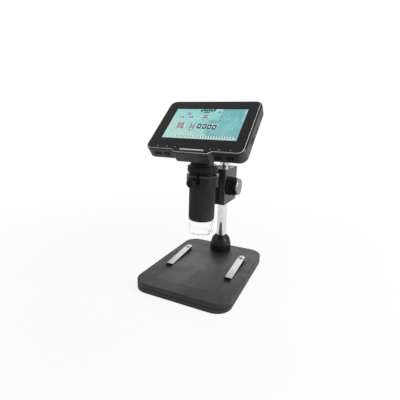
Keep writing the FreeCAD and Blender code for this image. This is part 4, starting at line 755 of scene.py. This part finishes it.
class StageOperator(bpy.types.Operator):
    """Adds the floor, the soft studio lamps, the surroundings and the camera"""
    bl_idname = "microscope.stage"
    bl_label = "Studio"

    def execute(self, context):
        deselect()
        bpy.ops.mesh.primitive_plane_add(size=24, location=(0, 0, 0))
        floor = bpy.context.object
        floor.name = "studio_floor"
        floor.data.materials.append(self.floor_finish())
        self.lamp("Key", (0.75, -0.05, 0.45), (0.5, 0.7), context.scene.microscope.key_light)
        self.lamp("Back", (-0.1, 0.8, 0.6), (0.9, 0.5), 2.6)
        self.lamp("Fill", (-0.7, -0.5, 0.5), (0.5, 0.5), context.scene.microscope.fill_light)
        self.surroundings(context.scene)
        self.camera(context.scene)
        context.scene.view_settings.view_transform = "Standard"
        return {"FINISHED"}

    def floor_finish(self):
        paper = Finish("Studio Paper", 0.9)
        tree = paper.tree
        skin = effect(tree, "Moulded Grain", paper.position, Grain_Size=0.7, Cloud_Size=60.0)
        paper.colour(blend(tree, skin.outputs["Tone"], (0.9, 0.9, 0.9), (0.93, 0.93, 0.93)))
        path = tree.nodes.new("ShaderNodeLightPath")
        bright = add(tree, "Emission", Color=(1, 1, 1, 1), Strength=1.0)
        mix = tree.nodes.new("ShaderNodeMixShader")
        seen = sum_of(tree, "MAXIMUM", path.outputs["Is Camera Ray"], path.outputs["Is Transmission Ray"])
        seen = sum_of(tree, "MAXIMUM", seen, sum_of(tree, "MULTIPLY", path.outputs["Is Glossy Ray"], 0.6))
        far = tree.nodes.new("ShaderNodeVectorMath")
        far.operation = "LENGTH"
        wire(tree, paper.position, far.inputs[0])
        fade = paper.between(ramp(tree, far.outputs["Value"], 0.2, 0.6), 0.9, 1.0)
        wire(tree, sum_of(tree, "MULTIPLY", seen, fade), mix.inputs[0])
        wire(tree, paper.shader.outputs[0], mix.inputs[1])
        wire(tree, bright.outputs[0], mix.inputs[2])
        wire(tree, mix.outputs[0], paper.output.inputs[0])
        return paper.material

    def lamp(self, name, place, size, power):
        deselect()
        bpy.ops.object.light_add(type="AREA", location=place)
        lamp = bpy.context.object
        lamp.name = name
        lamp.data.shape = "RECTANGLE"
        lamp.data.size, lamp.data.size_y = size
        lamp.data.energy = power
        aim = Vector((0, 0, 0.1)) - Vector(place)
        lamp.rotation_euler = aim.to_track_quat("-Z", "Y").to_euler()

    def surroundings(self, scene):
        world = bpy.data.worlds.new("Studio")
        scene.world = world
        world.use_nodes = True
        tree = world.node_tree
        tree.nodes.clear()
        path = tree.nodes.new("ShaderNodeLightPath")
        bright = add(tree, "Background", Color=(1, 1, 1, 1), Strength=1.0)
        dim = add(tree, "Background", Color=(0.97, 0.98, 1, 1), Strength=0.28)
        mix = tree.nodes.new("ShaderNodeMixShader")
        output = tree.nodes.new("ShaderNodeOutputWorld")
        seen = sum_of(tree, "MAXIMUM", path.outputs["Is Camera Ray"], path.outputs["Is Transmission Ray"])
        seen = sum_of(tree, "MAXIMUM", seen, sum_of(tree, "MULTIPLY", path.outputs["Is Glossy Ray"], 0.5))
        wire(tree, seen, mix.inputs[0])
        wire(tree, dim.outputs[0], mix.inputs[1])
        wire(tree, bright.outputs[0], mix.inputs[2])
        wire(tree, mix.outputs[0], output.inputs[0])

    def camera(self, scene):
        deselect()
        bpy.ops.object.camera_add(location=(0.14801, -0.35094, 0.20187))
        camera = bpy.context.object
        camera.name = "Camera"
        turn, lift, roll = [math.radians(angle) for angle in (24.27, 14.12, 1.86)]
        back = Vector((math.sin(turn) * math.cos(lift), -math.cos(turn) * math.cos(lift), math.sin(lift)))
        right = Vector((0, 0, 1)).cross(back).normalized()
        up = back.cross(right)
        leaned = right * math.cos(roll) + up * math.sin(roll)
        camera.matrix_world = Matrix.Translation(camera.location) @ Matrix(
            (leaned, back.cross(leaned), back)).transposed().to_4x4()
        camera.data.lens = 26.52
        camera.data.sensor_width = 36
        camera.data.clip_start = 0.01
        scene.camera = camera


class BaseOperator(bpy.types.Operator):
    """Finishes the base, its stage plate and its feet"""
    bl_idname = "microscope.base"
    bl_label = "Base"

    def execute(self, context):
        dress(finish("base"), "base_cover", "base_tray")
        dress(finish("stage"), "stage_plate")
        dress(finish("bare_steel"), "base_weight")
        dress(finish("rubber"), "base_feet")
        dress(finish("zinc"), "base_screws", "pole_bolt")
        return {"FINISHED"}


class ClipsOperator(bpy.types.Operator):
    """Finishes the clip strips, their spacers and their domed screws"""
    bl_idname = "microscope.clips"
    bl_label = "Specimen clips"

    def execute(self, context):
        dress(finish("spring_steel"), "clip_left", "clip_right")
        dress(finish("grip"), "clip_spacers")
        dress(finish("screw"), "clip_screws")
        return {"FINISHED"}


class ColumnOperator(bpy.types.Operator):
    """Finishes the chrome column, its boot and its cap"""
    bl_idname = "microscope.column"
    bl_label = "Column"

    def execute(self, context):
        dress(finish("chrome"), "pole")
        dress(finish("boot"), "pole_boot", "pole_cap")
        dress(finish("acetal"), "pole_sleeve")
        return {"FINISHED"}


class FocusBlockOperator(bpy.types.Operator):
    """Finishes the focusing block, its slide and its gears"""
    bl_idname = "microscope.focus_block"
    bl_label = "Focusing block"

    def execute(self, context):
        dress(finish("block"), "block_housing")
        dress(finish("slide"), "slide_rail")
        dress(finish("brass"), "rack")
        dress(finish("bare_steel"), "pinion_shaft")
        dress(finish("zinc"), "gib_screws", "arm_screws")
        dress(finish("acetal"), "lock_pad", "ring_pad")
        return {"FINISHED"}


class KnobsOperator(bpy.types.Operator):
    """Makes the fluted grips of the focus knobs and the two thumb screws, and finishes the caps"""
    bl_idname = "microscope.knobs"
    bl_label = "Knobs"

    def execute(self, context):
        self.focus_grips(context.scene.microscope)
        self.thumb_screw("lock_grip", "lock_screw", "column_lock_screw", "X",
                         radius=6.0, length=10.0, rod=2.5)
        self.thumb_screw("ring_grip", "ring_screw", "ring_lock_screw", "Y",
                         radius=4.8, length=7.0, rod=2.0)
        low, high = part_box("knob_caps")
        dress(turned("Turned Cap", (0.3, 0.3, 0.31), 0.34, (low + high) / 2, (0, math.radians(90), 0)),
              "knob_caps")
        return {"FINISHED"}

    def focus_grips(self, sizes):
        """One tapered, fluted grip, copied to both sides."""
        low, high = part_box("focus_knob_right")
        length = (high.x - low.x) / MM
        wide, narrow = (high.z - low.z) / 2 / MM, 12.2
        slope = (wide - narrow) / (length - 0.8)
        heights = (0.8, 1.9, 2.2, length - 1.6, length - 1.3, length)
        grip = turn([(wide - 0.8, 0)] + [(wide - (height - 0.8) * slope, height) for height in heights],
                    4 * sizes.knob_flutes, 2.5)
        flute(grip, sizes.knob_flutes, 1 - sizes.flute_depth / (wide * MM), 2.0, length - 1.5)
        smooth(soften(grip, 0.1, 1, 40), 30)
        for side, word in ((1, "right"), (-1, "left")):
            node = "focus_knob_" + word
            low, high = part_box(node)
            face = Vector((low.x if side > 0 else high.x, *((low + high) / 2)[1:]))
            twin = copy(grip, Matrix.Translation(face) @ Matrix.Rotation(math.radians(90 * side), 4, "Y"))
            settle(twin, "grip_" + word, "focus_knobs", finish("grip"))
            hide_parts(node)
        bpy.data.objects.remove(grip)

    def thumb_screw(self, name, node, body, along, radius, length, rod):
        """A fluted head with a dished end, and a threaded rod, from the node's low end along X or Y."""
        low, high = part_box(node)
        axis = "XY".index(along)
        start = (low + high) / 2
        start[axis] = low[axis]
        rotation = Matrix.Rotation(math.radians((90, -90)[axis]), 4, "YX"[axis])
        end = (high[axis] - low[axis]) / MM
        pitch, thread_depth = 0.7, 0.22
        threads = []
        height = length + 0.6
        while height < end - 1.0:
            threads += [(rod, height), (rod - thread_depth, height + pitch / 2)]
            height += pitch
        rim = radius - 0.8
        screw = turn([(rim, 0), (radius, 0.8), (radius, 1.2), (radius, 1.4), (radius, length - 1.4),
                      (radius, length - 1.2), (radius, length - 0.8), (rim, length), (rod, length)]
                     + threads + [(rod, end)])
        flutes, flute_depth = 24, 0.35
        flute(screw, flutes, 1 - flute_depth / radius, 1.3, length - 1.3)
        edit(screw)
        choose(screw, lambda face: face.normal.z < -0.9 and abs(middle_of(face).z) < CLOSE)
        step_to(rim, radius - 1.6, 0)
        step_to(radius - 1.6, radius - 2.0, 0.5)
        bpy.ops.object.mode_set(mode="OBJECT")
        smooth(screw, 30)
        settle(screw, name, body, finish("grip"), Matrix.Translation(start) @ rotation)
        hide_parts(node)


class BarrelOperator(bpy.types.Operator):
    """Makes the ribbed barrel and its domed lamps, and finishes the ring, the wheel and the lenses"""
    bl_idname = "microscope.barrel"
    bl_label = "Barrel"

    def execute(self, context):
        self.ribbed_barrel(context.scene.microscope)
        self.lamps()
        dress(finish("ring"), "holder_arm")
        dress(finish("gloss"), "ring_liner")
        dress(finish("grip"), "focus_wheel")
        dress(finish("clear"), "nose_cover")
        dress(finish("lens"), "lenses")
        dress(finish("slide"), "lens_carriage", "lens_cell")
        dress(finish("bare_steel"), "focus_pin")
        dress(finish("circuit"), "led_board", "sensor_board")
        dress(finish("lead"), "led_cable", "sensor_cable")
        dress(finish("gloss"), "image_sensor")
        return {"FINISHED"}

    def ribbed_barrel(self, sizes):
        """A ribbed tube below, joined to a copy of the smooth head above it."""
        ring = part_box("holder_arm")[0].z
        head = copy(NODES["barrel_shell"], Matrix())
        edit(head)
        bpy.ops.mesh.select_all(action="SELECT")
        bpy.ops.mesh.remove_doubles(threshold=CLOSE)
        bpy.ops.mesh.bisect(plane_co=(0, 0, ring - 0.7 * MM), plane_no=(0, 0, 1), use_fill=True,
                            clear_inner=True)
        bpy.ops.object.mode_set(mode="OBJECT")
        start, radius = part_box("barrel_shell")[0].z / MM, 16.65
        tube = turn([(radius - 1.5, start), (radius - 0.45, start + 0.65), (radius, start + 2.2),
                     (radius, start + 3.0), (radius, start + 3.3), (radius, ring / MM - 2.4),
                     (radius, ring / MM - 2.1), (radius, ring / MM - 0.6)], 4 * sizes.barrel_ribs, 14.9)
        flute(tube, sizes.barrel_ribs, 1 - sizes.rib_depth / (radius * MM), start + 3.1, ring / MM - 2.2)
        tube.data.transform(Matrix.Translation(BARREL))
        shell = join([tube, head])
        smooth(shell, 28)
        settle(shell, "ribbed_barrel", "head", finish("barrel"))
        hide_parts("barrel_shell")

    def lamps(self):
        """One domed lamp, copied round the barrel's axis."""
        board_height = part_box("leds")[1].z
        dome = turn([(1.5, 0), (1.5, 0.3), (1.25, 0.34), (1.22, 0.7), (1.0, 0.92), (0.6, 1.05), (0.2, 1.1)],
                    20)
        smooth(dome, 40)
        lamps = []
        count, ring_radius = 8, 11.2
        for index in range(count):
            angle = 2 * math.pi * index / count
            spot = BARREL + Vector((math.cos(angle), math.sin(angle), 0)) * ring_radius * MM
            spot.z = board_height
            lamps.append(copy(dome, Matrix.Translation(spot) @ Matrix.Rotation(math.pi, 4, "X")))
        bpy.data.objects.remove(dome)
        settle(join(lamps), "lamp_domes", "head", finish("lamp"))
        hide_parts("leds")


class HousingOperator(bpy.types.Operator):
    """Finishes the neck and the screen's housing, and makes the socket's tongue and contacts"""
    bl_idname = "microscope.housing"
    bl_label = "Screen housing"

    def execute(self, context):
        dress(finish("shell"), "rear_shell")
        dress(finish("ring"), "neck")
        dress(finish("gloss"), "front_bezel")
        dress(finish("grip"), "power_button", "menu_button", "down_button", "up_button", "button_switches")
        dress(finish("bare_steel"), "usb_socket", "card_socket", "battery")
        dress(finish("zinc"), "case_screws", "neck_screws")
        dress(finish("circuit"), "main_board")
        dress(finish("chrome"), "trim_bar")
        self.tongue()
        return {"FINISHED"}

    def tongue(self):
        """The plastic tongue in the socket's mouth and the five contacts on it."""
        plate = block((56.3, 61.0), (-21.85, -16.75), (-7.25, -6.55))
        edit(plate)
        choose(plate, lambda face: face.normal.x > 0.9)
        bpy.ops.mesh.inset(thickness=0.15 * MM, depth=0.15 * MM)
        bpy.ops.object.mode_set(mode="OBJECT")
        settle(smooth(plate), "socket_tongue", "head", finish("grip"), SCREEN)
        strip = soften(block((56.7, 60.7), (-21.3, -20.8), (-6.57, -6.47)), 0.04, 1)
        strips = [copy(strip, shift(0, index, 0)) for index in range(5)]
        bpy.data.objects.remove(strip)
        settle(join(strips), "socket_contacts", "head", finish("brass"), SCREEN)


class ScreenOperator(bpy.types.Operator):
    """Makes the lit picture and the marks on the glass"""
    bl_idname = "microscope.screen"
    bl_label = "Screen"

    def execute(self, context):
        dress(finish("gloss"), "lcd_panel")
        dress(finish("window"), "screen_window")
        board = soften(block((-47.52, 47.52), (-26.93, 26.93), (-1.75, -0.86)), 0.04, 1)
        settle(board, "picture_board", "head", finish("lit_board"), SCREEN)
        self.patches("picture_pale", "lit_pale", -0.85, (
            (4.6, -5.8, 26.5, 10.6), (-31, -4.5, 16.0, 11.0), (-3.2, 12.4, 14.0, 8.0)))
        self.patches("picture_dark", "lit_dark", -0.83, self.dark_patches())
        self.patches("picture_rose", "lit_rose", -0.81, (
            (-31, -4.5, 6.4, 6.6), (-14.5, -6, 3.4, 6.4), (-3.2, 12.4, 5.2, 3.6), (-27, 17.5, 3.0, 2.4)))
        self.patches("picture_white", "lit_white", -0.81, self.white_patches())
        self.marks()
        return {"FINISHED"}

    def patches(self, name, colour, level, places):
        """Low rounded tiles on the picture, from their middles and sizes."""
        tiles = []
        for across, up, width, height in places:
            tile = block((across - width / 2, across + width / 2), (up - height / 2, up + height / 2),
                         (-0.88, level))
            tiles.append(soften(tile, min(0.3, width / 5, height / 5), 2))
        settle(smooth(join(tiles)), name, "head", finish(colour), SCREEN)

    def dark_patches(self):
        """Outlines of parts, loops, dots and the gaps of the row at the foot of the picture."""
        outlines = [(-31, -4.5, 13.6, 8.6), (-14.5, -6, 5.2, 12.2), (-3.2, 12.4, 11.4, 5.6),
                    (-27, 17.5, 7.6, 3.9), (-22.4, 11.2, 5.0, 3.0), (-35.2, 10.6, 5.4, 3.2)]
        loops = [(across, up, 5.2, 8.6) for across, up in LOOP_PLACES]
        cluster = [(-12 + 3.4 * index, 23.4 + 0.8 * (index % 2), 2.6, 4.2) for index in range(6)]
        dots = [(-40 + 6.3 * index, -14.5 + 2.2 * (index * 5 % 4), 1.1, 1.1) for index in range(9)]
        gaps = [(-28.35 + TOOTH_PITCH * index, -23.2, 0.9, 3.0) for index in range(22)]
        return outlines + loops + cluster + dots + gaps + [(-4, 19.8, 8.0, 1.6), (12.6, 21.0, 3.0, 2.0)]

    def white_patches(self):
        """Bright part ends, loop centres, the row's teeth and specks."""
        ends = [(-36.4, -4.5, 2.6, 7.2), (-25.6, -4.5, 2.6, 7.2), (-14.5, -10.4, 3.8, 2.2),
                (-14.5, -1.6, 3.8, 2.2), (-7.4, 12.4, 2.6, 4.2), (1.0, 12.4, 2.6, 4.2),
                (-29.8, 17.5, 1.6, 2.8), (-24.2, 17.5, 1.6, 2.8), (-22.4, 11.2, 2.6, 1.6),
                (-35.2, 10.6, 3.0, 1.7), (10.0, 24.8, 3.4, 2.2), (14.6, 24.4, 2.2, 2.6)]
        centres = [(across, up, 2.0, 3.6) for across, up in LOOP_PLACES]
        row = [(-30 + TOOTH_PITCH * index, -23.6, 1.9, 4.4) for index in range(23)]
        specks = [(-42 + 5.1 * index, 2.5 + 2.6 * (index * 3 % 5), 1.5, 1.0) for index in range(10)]
        return ends + centres + row + specks

    def marks(self):
        """Small printed signs above the keys, and two dots."""
        ring = turn([(0.75, 0), (0.75, 0.02)], 32, 0.55)
        place = shift(-45.4, -42.6, 0)
        shapes = [copy(ring, place)]
        bpy.data.objects.remove(ring)
        tile = soften(block((-0.1, 0.1), (0.1, 0.95), (0, 0.02)), 0.005, 1)
        shapes.append(copy(tile, place))
        bpy.data.objects.remove(tile)
        line = soften(block((-0.7, 0.7), (-0.11, 0.11), (0, 0.02)), 0.005, 1)
        shapes += [copy(line, shift(-33, -42.6 + step, 0)) for step in (-0.5, 0, 0.5)]
        bpy.data.objects.remove(line)
        dot = soften(turn([(0.55, 0), (0.55, 0.02)], 24), 0.005, 1)
        shapes += [copy(dot, shift(-22, -42.6, 0)), copy(dot, shift(22, -42.8, 0))]
        bpy.data.objects.remove(dot)
        wedge = soften(turn([(0.75, 0), (0.75, 0.02)], 3), 0.005, 1)
        for across, angle in ((31.4, 180), (33.2, 180), (45.6, 0)):
            rotation = Matrix.Rotation(math.radians(angle), 4, "Z")
            shapes.append(copy(wedge, shift(across, -42.8, 0) @ rotation))
        bpy.data.objects.remove(wedge)
        settle(join(shapes), "glass_marks", "head", finish("print"), SCREEN)


class MicroscopePanel(bpy.types.Panel):
    """Lists the microscope's parts and settings"""
    bl_idname = "VIEW3D_PT_microscope"
    bl_label = "Microscope"
    bl_space_type = "VIEW_3D"
    bl_region_type = "UI"
    bl_category = "Microscope"

    def draw(self, context):
        for name in MicroscopeSettings.__annotations__:
            self.layout.prop(context.scene.microscope, name)
        for operator in OPERATORS:
            self.layout.operator(operator.bl_idname)


OPERATORS = (BaseOperator, ClipsOperator, ColumnOperator, FocusBlockOperator, KnobsOperator, BarrelOperator,
             HousingOperator, ScreenOperator, StageOperator)


def register():
    for item in (MicroscopeSettings, *OPERATORS, MicroscopePanel):
        bpy.utils.register_class(item)
    bpy.types.Scene.microscope = PointerProperty(type=MicroscopeSettings)


def unregister():
    del bpy.types.Scene.microscope
    for item in (MicroscopePanel, *reversed(OPERATORS), MicroscopeSettings):
        bpy.utils.unregister_class(item)


def main():
    register()
    bpy.ops.microscope.base()
    bpy.ops.microscope.clips()
    bpy.ops.microscope.column()
    bpy.ops.microscope.focus_block()
    bpy.ops.microscope.knobs()
    bpy.ops.microscope.barrel()
    bpy.ops.microscope.housing()
    bpy.ops.microscope.screen()
    bpy.ops.microscope.stage()


if __name__ == "__main__":
    main()
